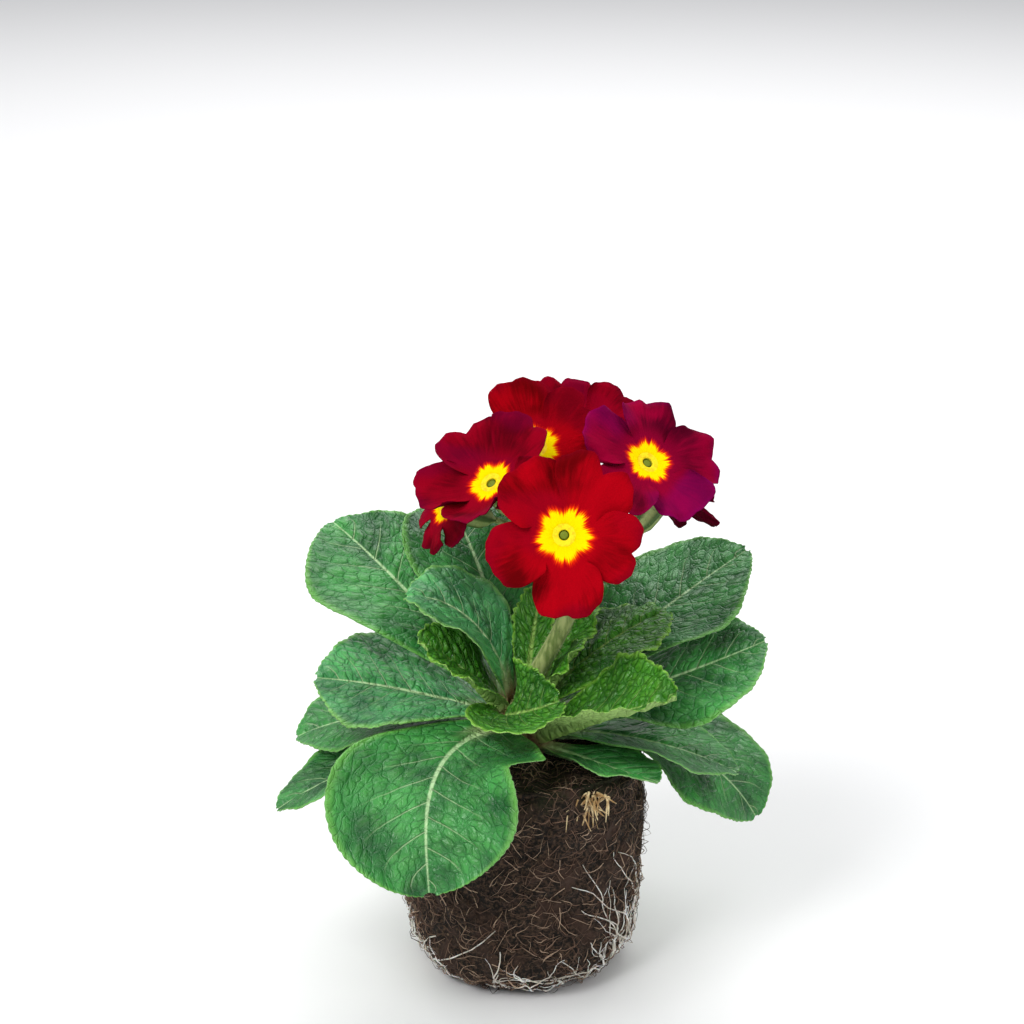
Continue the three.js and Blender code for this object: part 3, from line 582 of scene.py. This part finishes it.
def leaf_finish(name, blade_dark, blade_light, vein_tint, margin_and_highlight_tint, under_tint, crinkle, cell):
    """Leaf skin: a cloudy blade with its veins, blisters between them, a lighter margin and a dull, pale
    underside. The blisters carry a painted highlight and the creases of the net of small veins a painted
    shade; the margin is partly its own yellow-green and partly a painted highlight. Crinkle, 0 to 1, is how
    strongly the net, a cell wide, is sunk into it, and how strong that painted highlight and shade are."""
    made, shader, place = new_finish(name, Specular_IOR_Level=0.5)
    s, t, under = marks(place, "blade").parts()
    flat = marks(place, "flat")
    side = t.size()
    off_rib = flat.parts()[1].size()
    rib = (off_rib + s * 1.1).step(1.6, 0.9)
    lane = (s - side * VEIN_SWEEP) * SIDE_VEINS + t.step(-0.001, 0.001) * 0.5 + flat.noise(9) * 0.5 * side
    branch = lane.math("PINGPONG", lane, 0.5)
    vein = branch.step(0.045, 0.008) * side.step(0.75, 0.1)
    warp = flat.node("ShaderNodeTexNoise", None, {"Vector": flat, "Scale": 1 / 5}, 1)
    bent = flat.node("ShaderNodeVectorMath", {"operation": "MULTIPLY_ADD"}, {0: warp, 1: (4, 4, 0), 2: flat})
    net = bent.cells(cell, "DISTANCE_TO_EDGE").step(0.1, 0.0)
    small_net = bent.cells(0.5 * cell, "DISTANCE_TO_EDGE").step(0.12, 0.0)
    bulge = bent.cells(cell).step(0.8, 0.0)
    blade = flat.noise(18, 3).step(0.28, 0.72).mix(blade_dark, blade_light)
    # Painted highlight: the middles of the blisters are tinted lighter, towards the margin's colour.
    blade_with_blister_highlight = (bulge * 0.24 * crinkle).mix(blade, margin_and_highlight_tint)
    # Painted shade: the sunk creases of the net of small veins are tinted towards the dark green.
    net_with_painted_shade = (net * 0.45 * crinkle + small_net * 0.1).mix(blade_with_blister_highlight, blade_dark)
    branched = (vein * 0.55).mix(net_with_painted_shade, vein_tint)
    # The margin turns lighter: partly its own yellow-green, partly a painted highlight along the rim.
    margin_with_painted_highlight = (side.step(0.88, 1.0) * 0.7).mix(branched, margin_and_highlight_tint)
    ribbed = (rib * 0.9).mix(margin_with_painted_highlight, vein_tint)
    on_stalk = off_rib.step(6.0, 2.5)
    stalked = (s.step(0.28, 0.02) * on_stalk * 0.85).mix(ribbed, colour(186, 200, 136))
    raised = vein * 0.6 + net * 0.4 + rib
    under_skin = raised.math("MINIMUM", raised, 1.0).mix(under_tint, vein_tint)
    skin = under.step(0.4, 0.6).mix(stalked, under_skin)
    footed = (s.step(0.1, 0.0) * on_stalk).mix(skin, colour(168, 122, 92))
    relief = (bulge - net * 0.4) * crinkle - small_net * 0.1 - vein * 0.4 + flat.noise(0.6) * 0.12
    gloss = 0.28 + 0.14 * flat.noise(5, 3) + 0.3 * under
    paint(shader, Base_Color=footed, Roughness=gloss, Normal=relief.bump(0.0013))
    return made


mature_leaf = leaf_finish(
    "mature_leaf", colour(20, 84, 36), colour(70, 162, 76), colour(190, 226, 166), colour(116, 188, 80),
    colour(124, 168, 106), 0.5, 4.0,
)
grown_leaf = leaf_finish(
    "grown_leaf", colour(24, 100, 50), colour(84, 184, 102), colour(198, 228, 170), colour(134, 200, 92),
    colour(136, 176, 106), 0.6, 3.6,
)
young_leaf = leaf_finish(
    "young_leaf", colour(34, 100, 18), colour(74, 156, 36), colour(164, 206, 104), colour(146, 208, 70),
    colour(150, 190, 100), 0.8, 2.6,
)


def leaf_blade(number, name, height, azimuth, rise, droop, swing, length, width, roll, cup, wave, age, wing):
    """Leaf over a grid of s along it and t across it, -1 to 1. The rib is the running sum of short straight
    lengths whose heading and pitch change with s. Across the rib the blade bends round an arc, and its height
    above that arc adds the wave of the margin, the blisters between the side veins, and the net's cells."""
    rows, columns = (96, 52) if length > 65 else (72, 44)
    z = BALL_HEIGHT + height
    share = np.linspace(0, 1, RIB_STEPS + 1)
    heading = np.radians(azimuth + swing * share)
    pitch = np.radians(rise - droop * share ** 1.5)
    tilt = np.radians(roll) * smooth(share, 0.1, 0.7)
    tangent = np.stack([np.cos(pitch) * np.cos(heading), np.cos(pitch) * np.sin(heading), np.sin(pitch)], -1)
    level = np.stack([-np.sin(heading), np.cos(heading), 0 * heading], -1)
    side = level * np.cos(tilt)[:, None] + np.cross(tangent, level) * np.sin(tilt)[:, None]
    reach = crown_radius(z) + CLEARANCE
    start = np.array([reach * np.cos(heading[0]), reach * np.sin(heading[0]), z])
    centre = start + np.concatenate([np.zeros((1, 3)), np.cumsum(tangent[:-1], axis=0)]) * length / RIB_STEPS

    u = np.linspace(0, 1, rows)[:, None]
    s = BLADE_END * (1 - (1 - u) ** 1.25)
    v = np.linspace(-1, 1, columns)[None]
    t = v - 0.5 * np.sin(2 * np.pi * v) / (2 * np.pi)
    along = np.clip(s + VEIN_SLANT * 4 * s * (1 - s) * np.abs(t), 0, 1)
    winged = wing * np.exp(-((s - WING_PLACE) / WING_REACH) ** 4) * (t > 0)
    half = half_width(width, along, age) + winged

    def at(values):
        return np.stack([np.interp(along, share, values[:, k]) for k in range(3)], -1)

    middle, sideways, forward = at(centre), at(side), at(tangent)
    normal = np.cross(forward, sideways)
    bend = 2 * cup if abs(cup) > 1e-6 else 1e-6
    across = half * np.sin(bend * t) / bend
    dish = half * (1 - np.cos(bend * t)) / bend - 0.35 * winged * t * t

    rim_x, rim_y = along * length, half
    slope_x, slope_y = np.gradient(rim_x, axis=0), np.gradient(rim_y + 0 * along, axis=0)
    run = np.hypot(slope_x, slope_y) + 1e-9
    way = np.cumsum(run, axis=0)
    lively = 1.5 - 0.9 * age
    tooth = 0.8 * lively * np.abs(np.sin(np.pi * way / TOOTH_PITCH)) * smooth(s, 0.2, 0.4) * np.abs(t) ** 10
    across = across + np.sign(t) * tooth * slope_x / run
    ahead = -tooth * slope_y / run

    x, y = s * length, t * half
    phase = (s - VEIN_SWEEP * np.abs(t)) * SIDE_VEINS + np.where(t > 0, 0.5, 0)
    between = np.abs(phase - np.round(phase)) * 2
    fade = smooth(np.abs(t), 0.03, 0.16) * (1 - np.abs(t) ** 4) * smooth(half, 3, 12)
    quilt = 1 - scattered(x, y, BLISTER_SIZE, azimuth) ** 2
    blisters = (0.9 * between ** 0.7 + 0.6 * quilt) * lively * fade
    groove = -0.8 * np.exp(-(y / 1.1) ** 2) * (1 - 0.7 * s)
    margin = wave * t * t * np.sin(np.pi * s) * np.sin(13 * s + azimuth + np.where(t > 0, 0, 70))
    frill = lively ** 2 * t ** 8 * np.sin(2 * np.pi * way / FRILL_PITCH + number) * smooth(s, 0.2, 0.5) * 0.7
    lift = (dish + blisters + groove + margin + frill)[..., None]

    top = middle + sideways * across[..., None] + normal * lift + forward * ahead[..., None]
    down = normal * np.cos(bend * t)[..., None] - sideways * np.sin(bend * t)[..., None]
    ridge = (0.5 + 2.4 * (1 - s) ** 1.2) * np.exp(-(y / (0.9 + 1.1 * (1 - s))) ** 2)
    off_vein = between * 0.5 * length / SIDE_VEINS
    vein = 0.4 * np.exp(-(off_vein / 0.8) ** 2) * (1 - np.abs(t)) * smooth(half, 3, 12)
    under = top - down * (LEAF_THICKNESS + ridge + vein)[..., None]

    points, faces = two_faced(top, under)
    blade = np.stack([spot(s, t, 0 * along), spot(s, t, 0 * along + 1)])
    flat = spot(x, y, 40 * number)
    finish = mature_leaf if age > 0.85 else grown_leaf if age > 0.45 else young_leaf
    build_piece(
        "leaf_blade_" + name, points, faces, finish, "leaf" if age >= 0.5 else "young_leaf", ["leaf_" + name],
        blade=blade.reshape(-1, 3), flat=np.concatenate([flat, flat]).reshape(-1, 3),
    )


for number, leaf in enumerate(LEAVES):
    leaf_blade(number, *leaf)

# Flower stalk. One round, hairy stem leans out of the crown to the right and ends in the umbel, where each
# flower has a thin stalk of its own over a ring of small, pointed bracts. A ribbed, toothed calyx holds
# each tube.
STALK_POINTS = [(0.5, 0, 87), (0.5, 0, 96), (0.6, 0, 103), (6.5, -0.5, 114), (14, -1, 129), (21, -1, 148)]
UMBEL_BASE = np.array([21, -1, 148])
CALYX_FOOT = 20
CALYX_LENGTH = 12.5
CALYX_ROWS = 46
CALYX_SIDES = 50
STEM_STEPS = 60
STEM_SIDES = 24
FOOT_STEPS = 26
FOOT_SIDES = 14
BRACTS = 8
HAIR_RADII = (0.07, 0.05, 0.015)
HAIR_SIDES = 3
STEM_HAIRS = 1100
FOOT_HAIRS = 1500
CALYX_HAIRS = 160

# name, middle of the eye, facing, spin, radius, the eye's radius, crumple, share of wine, then for each lobe:
# rise of its rim, reach, depth of its notch, and depth of the gap between it and the next
FLOWERS = [
    ("front", (14, -25, 173), (0, -0.92, 0.39), 3, 28.5, 11, 1, 0,
     (-3, -1, 0, 1, 3), (1.02, 0.97, 1.06, 1, 0.97),
     (0.05, 0.12, 0.16, 0.02, 0.02), (0.36, 0.26, 0.16, 0.44, 0.4)),
    ("left", (-11, 2, 182), (-0.45, -0.47, 0.76), 20, 25, 9, 1.4, 0.25,
     (9, 7, 5, 6, 9), (0.9, 0.95, 1.06, 1.04, 1),
     (0.04, 0.04, 0.08, 0.1, 0.02), (0.24, 0.34, 0.16, 0.34, 0.3)),
    ("middle", (5, 30, 185), (0, -0.68, 0.73), -16, 24, 9.5, 1.4, 0,
     (-2, 2, 5, 5, 2), (1, 1, 1.05, 1.1, 1),
     (0.08, 0.1, 0.12, 0.06, 0.1), (0.34, 0.3, 0.24, 0.36, 0.4)),
    ("right", (43.5, 6, 188), (0.38, -0.58, 0.72), 10, 27, 9.4, 3, 1,
     (6, 0, 1, 2, 4), (0.95, 1.08, 0.95, 1, 1.06),
     (0.02, 0.06, 0.04, 0.02, 0.14), (0.42, 0.4, 0.34, 0.4, 0.42)),
    ("top", (22, 50, 185), (0.05, -0.45, 0.89), 54, 22, 8.8, 1.2, 0.2,
     (2, 4, 6, 6, 3), (1, 1, 1.04, 1, 1),
     (0.1, 0.08, 0.12, 0.06, 0.1), (0.3, 0.36, 0.26, 0.34, 0.4)),
    ("left_low", (-27, 13, 169), (-0.82, -0.42, 0.4), 0, 17, 7.5, 0.6, 0.2,
     (0, -1, -3, -3, -2), (1.04, 1, 1, 1, 1),
     (0.06, 0.04, 0.08, 0.04, 0.06), (0.18, 0.22, 0.22, 0.2, 0.2)),
    ("right_back", (52, 36, 166), (0.6, 0.6, 0.53), 30, 23, 9, 1.2, 0.2,
     (2, 3, 3, 2, 2), (1, 0.96, 1.04, 1, 1),
     (0.1, 0.06, 0.12, 0.08, 0.1), (0.3, 0.38, 0.26, 0.36, 0.34)),
    ("back", (-6, 53, 167), (-0.2, 0.85, 0.5), 36, 22, 8.8, 1.2, 0.7,
     (2, 2, 3, 2, 3), (1, 1.04, 1, 0.96, 1),
     (0.08, 0.12, 0.06, 0.1, 0.08), (0.36, 0.28, 0.4, 0.34, 0.3)),
]


def through(points, steps):
    """Smooth path through points: a cubic between each two, with slopes from the points on either side."""
    points = np.array(points, float)
    slopes = np.gradient(points, axis=0)
    place = np.linspace(0, len(points) - 1.000001, steps)
    k = place.astype(int)
    part = (place - k)[:, None]
    first, second, leave, arrive = points[k], points[k + 1], slopes[k], slopes[k + 1]
    ease = part * part * (3 - 2 * part)
    bow = part * (1 - part)
    return first + (second - first) * ease + bow * ((1 - part) * leave - part * arrive)


def unit(vector):
    vector = np.array(vector, float)
    return vector / np.linalg.norm(vector)


def flower_axes(facing, spin):
    """Right, up and outward directions of a flower: right is level, and both are turned by spin."""
    outward = unit(facing)
    right = unit(np.cross((0, 0, 1), outward))
    up = np.cross(outward, right)
    turn = np.radians(spin)
    return right * np.cos(turn) + up * np.sin(turn), up * np.cos(turn) - right * np.sin(turn), outward


def placed(at, axes, x, y, z):
    """Points of one flower, from how far right, up and outward of its place they lie."""
    right, up, outward = axes
    return np.array(at) + x[..., None] * right + y[..., None] * up + z[..., None] * outward


stem_path = through(STALK_POINTS, STEM_STEPS)
stem_share = np.linspace(0, 1, STEM_STEPS)
stem_radius = 2.4 + 0.8 * smooth(stem_share, 0.2, 0.45) - 0.3 * stem_share + 0.5 * smooth(stem_share, 0.93, 1)
stem_points, stem_faces = strands(stem_path[None], stem_radius[None], STEM_SIDES)

foot_share = np.linspace(0, 1, FOOT_STEPS)[:, None]
foot_paths = []
foot_radii = []
for name, at, facing, spin, *shape in FLOWERS:
    outward = unit(facing)
    base = np.array(at) - CALYX_FOOT * outward
    spread = base - UMBEL_BASE
    reach = np.linalg.norm(spread)
    first = UMBEL_BASE - (0, 0, 1.5)
    second = UMBEL_BASE + 0.35 * spread + (0, 0, 0.12 * reach)
    third = base - 0.35 * reach * outward
    rest = 1 - foot_share
    foot_paths.append(
        rest ** 3 * first + 3 * rest ** 2 * foot_share * second
        + 3 * rest * foot_share ** 2 * third + foot_share ** 3 * base
    )
    foot_radii.append(1.5 - 0.4 * foot_share[:, 0])
foot_paths = np.array(foot_paths)
foot_points, foot_faces = strands(foot_paths, np.array(foot_radii), FOOT_SIDES)

bract_turn = (around(BRACTS) + 0.4)[:, None, None]
bract_share = np.linspace(0, 1, 12)[None, :, None]
bract_out = np.concatenate([np.cos(bract_turn), np.sin(bract_turn), 0 * bract_turn], -1)
bract_reach = 1.4 + 4.4 * np.sin(1.9 * bract_share)
bract_paths = UMBEL_BASE + bract_out * bract_reach + (0, 0, 1) * (9 * bract_share - 2)
bract_radius = 1.05 * np.sin(np.pi * (0.12 + 0.86 * bract_share[:, :, 0])) ** 0.8 + 0 * bract_turn[:, :, 0]
bract_points, bract_faces = strands(bract_paths, bract_radius, 6)


def join(*groups):
    """Several sets of points and faces as one mesh."""
    points, faces, shift = [], [], 0
    for group_points, group_faces in groups:
        points.append(group_points)
        faces += [group + shift for group in group_faces]
        shift += len(group_points)
    return np.concatenate(points), faces


def hairs_on(paths, radii, count, length, random):
    """Short tapered hairs that stand out at random round random points of the paths."""
    which = random.integers(0, paths.shape[0], count)
    step = random.integers(1, paths.shape[1] - 1, count)
    along = paths[which, step + 1] - paths[which, step]
    root = paths[which, step] + along * random.random((count, 1))
    along /= np.linalg.norm(along, axis=-1, keepdims=True)
    out = np.cross(along, random.normal(0, 1, (count, 3)))
    out /= np.linalg.norm(out, axis=-1, keepdims=True)
    start = root + out * (radii[which, step][:, None] - 0.1)
    tip = start + (out + 0.3 * random.normal(0, 1, (count, 3))) * length * random.uniform(0.5, 1, (count, 1))
    share = np.array([0, 0.5, 1])[None, :, None]
    hairs = start[:, None] * (1 - share) + tip[:, None] * share
    return strands(hairs, np.tile(HAIR_RADII, (count, 1)), HAIR_SIDES)


hair_random = np.random.default_rng(8)
stem_hairs = hairs_on(stem_path[None], stem_radius[None], STEM_HAIRS, 1.3, hair_random)
foot_hairs = hairs_on(foot_paths, np.array(foot_radii), FOOT_HAIRS, 1.1, hair_random)

stem_finish, stem_shader, stem_place = new_finish("hairy_stem", Roughness=0.55)
stem_shader.inputs["Sheen Weight"].default_value = 0.3
stem_shader.inputs["Sheen Roughness"].default_value = 0.5
stem_long = stem_place.node("ShaderNodeMapping", None, {"Vector": stem_place, "Scale": (1, 1, 0.25)})
stem_streak = stem_long.noise(0.0016, 3)
stem_tint = stem_streak.step(0.35, 0.65).mix(colour(112, 134, 62), colour(172, 184, 114))
paint(stem_shader, Base_Color=stem_tint, Normal=stem_streak.bump(0.0004))
stalk_points, stalk_faces = join(
    (stem_points, stem_faces), (foot_points, foot_faces), (bract_points, bract_faces), stem_hairs, foot_hairs,
)
build_piece("stalk_and_bracts", stalk_points, stalk_faces, stem_finish, "stem", ["flower_stalk"])

calyx_finish, calyx_shader, calyx_place = new_finish("ribbed_calyx", Roughness=0.55)
calyx_rib, calyx_long = marks(calyx_place, "calyx").parts()[:2]
calyx_green = calyx_rib.step(0.25, 0.85).mix(colour(168, 184, 116), colour(74, 104, 44))
calyx_tip = calyx_long.step(0.75, 1.1).mix(calyx_green, colour(104, 132, 58))
paint(calyx_shader, Base_Color=calyx_tip, Normal=calyx_place.noise(0.0007, 3).bump(0.0003))


def along_profile(corners, rows):
    """Heights and radii of rows spread along a profile, with as many between each two of its corners."""
    place = np.linspace(0, len(corners) - 1, rows)
    return [np.interp(place, np.arange(len(corners)), column)[:, None] for column in np.transpose(corners)]


CALYX_PROFILE = [
    (-1, 1.2), (0, 1.6), (2, 3.2), (5, 4.1), (8, 4.3),
    (10, 4.2), (11.5, 4.2), (11.5, 3.7), (9, 3.5), (3, 2.6),
]
calyx_height, calyx_wide = along_profile(CALYX_PROFILE, CALYX_ROWS)
calyx_turn = around(CALYX_SIDES)[None]
calyx_ridge = np.abs((5 * calyx_turn / (2 * np.pi)) % 1 - 0.5) * 2
calyx_spread = calyx_wide * (1 + 0.12 * np.cos(5 * calyx_turn) * smooth(calyx_height, 1, 5))
calyx_tall = calyx_height + 5.5 * calyx_ridge ** 1.4 * smooth(calyx_height, 6, 11.5)
calyx_flare = calyx_spread + 0.5 * smooth(calyx_tall, 12, 17)
calyx_x, calyx_y = calyx_flare * np.cos(calyx_turn), calyx_flare * np.sin(calyx_turn)
calyx_groups = []
calyx_marks = []
calyx_hairs = []
for name, at, facing, spin, *shape in FLOWERS:
    axes = flower_axes(facing, spin)
    outward = axes[2]
    base = np.array(at) - CALYX_FOOT * outward
    points = placed(base, axes, calyx_x, calyx_y, calyx_tall)
    calyx_groups.append((points.reshape(-1, 3), turned_faces(CALYX_ROWS, CALYX_SIDES)))
    calyx_marks.append(spot(calyx_ridge, calyx_tall / 12, 0).reshape(-1, 3))
    path = base + outward * np.linspace(1, CALYX_LENGTH, 12)[:, None]
    calyx_hairs.append(hairs_on(path[None], np.full((1, 12), 4.0), CALYX_HAIRS, 0.9, hair_random))
    calyx_marks.append(np.full((CALYX_HAIRS * len(HAIR_RADII) * HAIR_SIDES, 3), 0.3))
calyx_points, calyx_faces = join(*[group for pair in zip(calyx_groups, calyx_hairs) for group in pair])
build_piece("calyces", calyx_points, calyx_faces, calyx_finish, "stem", calyx=np.concatenate(calyx_marks))

# Flowers. Five heart-shaped lobes spread flat from the mouth of a narrow tube, each lying over the next. They
# are velvety red, wine-coloured in some flowers, with a feathered yellow star round the green throat.
LOBES = 5
WIDEST_EYE = 11
THROAT_RADIUS = 3.3
PETAL_THICKNESS = 0.35
LOBE_SPREAD = 180 / LOBES
EYE_ROWS = 53
EYE_SIDES = 40
PIN_ROWS = 12
OUTSIDE_ROWS = 22


def joined(x, y, z):
    """One wire of places from three wires of numbers."""
    return x.node("ShaderNodeCombineXYZ", None, {0: x, 1: y, 2: z})


def petal_finish(name, deep, bright, rim):
    """Velvet petal: streaks that run out from the throat, deep and bright cloudy patches of painted shade and
    highlight, another tint at the rim, and a yellow star.
    """
    made, shader, place = new_finish(name, Roughness=0.9, Specular_IOR_Level=0.03)
    x, y, seed = marks(place, "bloom").parts()
    v, out, under = marks(place, "lobe").parts()
    radius = (x * x + y * y) ** 0.5
    streaks = joined(v * 5.5, out * 0.9, seed * 7).noise(0.45, 3, 0.6)
    feather = joined(v * 9, out * 0.6, seed * 5).noise(0.5, 2, 0.6)
    # Painted highlight and shade: cloudy patches swing the red between deep and bright, over the petal's own
    # streaks.
    painted_shade_and_streaks = (streaks * 0.3 + place.noise(0.019, 2)).step(0.5, 0.76).mix(deep, bright)
    centred = (radius.step(20.0, 11.0) * 0.7).mix(painted_shade_and_streaks, bright)
    patch = place.noise(0.026, 1).step(0.46, 0.6) * 0.5
    edge = (out.step(0.85, 1.05) * 0.35 + patch).mix(centred, rim)
    star = 9.4 - 2.6 * (v.size() ** 1.5) - 1.6 * v.size().step(0.22, 0.0) + (feather - 0.5) * 5.0
    beyond = radius - star
    reddened = (beyond.step(2.6, 0.2) * 0.9).mix(edge, colour(236, 36, 4))
    glowing = beyond.step(1.0, -0.2).mix(reddened, colour(252, 132, 0))
    starred = beyond.step(0.3, -0.7).mix(glowing, colour(255, 226, 0))
    streaked = (radius.step(6.5, 3.0) * streaks.step(0.45, 0.6) * 0.6).mix(starred, colour(244, 176, 0))
    face = under.mix(streaked, streaks.step(0.3, 0.7).mix(deep, rim))
    paint(shader, Base_Color=face, Normal=(streaks * 0.6 + place.noise(0.0006, 3) * 0.5).bump(0.0003))
    return made


red_petal = petal_finish("red_petal", colour(100, 0, 5), colour(168, 0, 16), colour(128, 0, 26))
wine_petal = petal_finish("wine_petal", colour(84, 0, 28), colour(144, 0, 44), colour(128, 2, 80))
half_wine_petal = petal_finish("half_wine_petal", colour(88, 0, 14), colour(144, 0, 26), colour(112, 0, 42))

eye_finish, eye_shader, eye_place = new_finish("throat_and_tube", Roughness=0.6, Specular_IOR_Level=0.3)
eye_wide, eye_tall, eye_outside = marks(eye_place, "eye").parts()
eye_ring = eye_wide.step(1.5, 2.1).mix(colour(126, 140, 22), colour(255, 226, 0))
# Painted shade: deeper down the throat the olive turns darker.
throat_with_painted_shade = eye_tall.step(-0.4, -1.4).mix(eye_ring, colour(96, 112, 22))
eye_spots = eye_place.noise(0.0014, 3).step(0.46, 0.6) * eye_wide.step(1.9, 2.4)
eye_mottled = (eye_spots * 0.6).mix(throat_with_painted_shade, colour(244, 184, 0))
eye_tube = eye_outside.mix(eye_mottled, colour(206, 208, 122))
paint(eye_shader, Base_Color=eye_tube, Normal=eye_place.noise(0.0006).bump(0.0002))

EYE_PROFILE = [
    (-16.6, 1.3), (-16.6, 1.8), (-12, 1.8), (-6, 2), (-2, 2.6), (-0.7, 3.3), (-0.3, 4.1),
    (0.1, 3.9), (0.06, 3.2), (0, 2.3), (-0.2, 1.9), (-0.7, 1.7), (-4, 1.4), (-5, 0.5),
]
eye_height, eye_radius = along_profile(EYE_PROFILE, EYE_ROWS)
eye_turn = around(EYE_SIDES)[None]
eye_around = eye_radius * (1 + 0.04 * np.cos(10 * eye_turn) * smooth(eye_height, -0.5, 0.4))

# The green knob of the stigma fills the middle of the throat.
pin_height = np.linspace(-1, 1, PIN_ROWS)[:, None]
pin_around = 1.45 * np.sqrt(np.clip(1.002 - pin_height ** 2, 0, 1)) + 0 * eye_turn


def lobe_points(flower_number, k, radius, eye, crumple, rises, reaches, notches, gaps, out, v):
    """Lobe over a grid of out, from the throat at -1 past the eye's edge at 0 to the rim at 1, and v across
    it. The rim is a circle less the gap, a cube of v, and a notch. Its height is the lobe's own rise, blended
    into its neighbours', plus the step that lays one edge over the next lobe, and waves growing outwards."""
    beyond = np.clip(out, 0, 1)
    notch = notches[k] * (0.6 * np.exp(-(v / 0.25) ** 2) + 0.6 * np.exp(-np.abs(v) / 0.1))
    uneven = 0.014 * np.sin(9 * v + 2.1 * k + flower_number) + 0.008 * np.sin(21 * v + 4 * k + flower_number)
    gap = np.where(v > 0, gaps[k], gaps[(k - 1) % LOBES])
    rim = radius * reaches[k] * (1 - gap * np.abs(v) ** 3 - notch + uneven)
    inside = THROAT_RADIUS + (eye - THROAT_RADIUS) * (1 + np.minimum(out, 0))
    across = np.where(out < 0, inside, eye + (rim - eye) * beyond)
    spread = LOBE_SPREAD + 6 * np.sin(0.85 * np.pi * beyond)
    angle = np.radians(-90 + 2 * LOBE_SPREAD * k + spread * v)
    neighbour = np.where(v > 0, rises[(k + 1) % LOBES], rises[(k - 1) % LOBES])
    rise = rises[k] + (neighbour - rises[k]) * v * v / 2
    over = 1.7 * smooth(out, 0, 0.5) * v
    wave = 0.7 * np.sin(4 * angle + 2 * flower_number) + 0.5 * np.sin(7 * angle + 3 * flower_number)
    wave = crumple * beyond ** 2 * (wave + 0.3 * beyond * np.sin(17 * angle + 5 * flower_number))
    crease = -0.8 * np.exp(-(v / 0.13) ** 2) * smooth(out, 0.1, 0.7)
    veins = 0.1 * np.sin(34 * v + 3 * np.sin(5 * out)) * smooth(out, 0.05, 0.4)
    curl = -1.1 * smooth(out, 0.8, 1.0) * (0.6 + 0.6 * np.sin(2.7 * k + 3 * v + flower_number))
    height = 1.1 * (np.minimum(across, eye) - THROAT_RADIUS) / (eye - THROAT_RADIUS)
    height = height + rise * beyond ** 1.5 + over + wave + crease + veins + curl
    return across * np.cos(angle), across * np.sin(angle), height + 0 * angle


lobe_out = np.concatenate([np.linspace(-1, 0, 7)[:-1], np.linspace(0, 1, 25)])[:, None]
lobe_v = np.sin(np.linspace(-1, 1, 35) * np.pi / 2 * 0.9)[None] / np.sin(np.pi / 2 * 0.9)
for flower_number, (name, at, facing, spin, radius, eye, crumple, wine, *lobes) in enumerate(FLOWERS):
    axes = flower_axes(facing, spin)
    lobe_groups = []
    bloom_marks = []
    lobe_marks = []
    for k in range(LOBES):
        x, y, height = lobe_points(flower_number, k, radius, eye, crumple, *lobes, lobe_out, lobe_v)
        top = placed(at, axes, x, y, height)
        lobe_groups.append(two_faced(top, top - PETAL_THICKNESS * axes[2]))
        bloom_marks += 2 * [spot(x * WIDEST_EYE / eye, y * WIDEST_EYE / eye, flower_number + 0.37 * k)]
        lobe_marks += [spot(lobe_v, lobe_out, under) for under in (0, 1)]
    petal_points, petal_faces = join(*lobe_groups)
    build_piece(
        "petal_ring_" + name, petal_points, petal_faces,
        wine_petal if wine > 0.6 else half_wine_petal if wine > 0.15 else red_petal,
        "wine_petal" if wine > 0.6 else "red_petal", ["petals_" + name],
        bloom=np.concatenate([part.reshape(-1, 3) for part in bloom_marks]),
        lobe=np.concatenate([part.reshape(-1, 3) for part in lobe_marks]),
    )
    rounds = [
        placed(at, axes, wide * np.cos(eye_turn), wide * np.sin(eye_turn), tall).reshape(-1, 3)
        for wide, tall in ((eye_around, eye_height), (pin_around, 0.4 * pin_height - 0.8))
    ]
    eye_points, eye_faces = join(
        (rounds[0], turned_faces(EYE_ROWS, EYE_SIDES)), (rounds[1], turned_faces(PIN_ROWS, EYE_SIDES)),
    )
    eye_marks = np.concatenate([
        spot(eye_around, eye_height, np.arange(EYE_ROWS)[:, None] < OUTSIDE_ROWS).reshape(-1, 3),
        np.tile([1.5, -0.9, 0], (PIN_ROWS * EYE_SIDES, 1)),
    ])
    build_piece(
        "eye_and_tube_" + name, eye_points, eye_faces, eye_finish, "eye", ["eye_" + name], eye=eye_marks,
    )
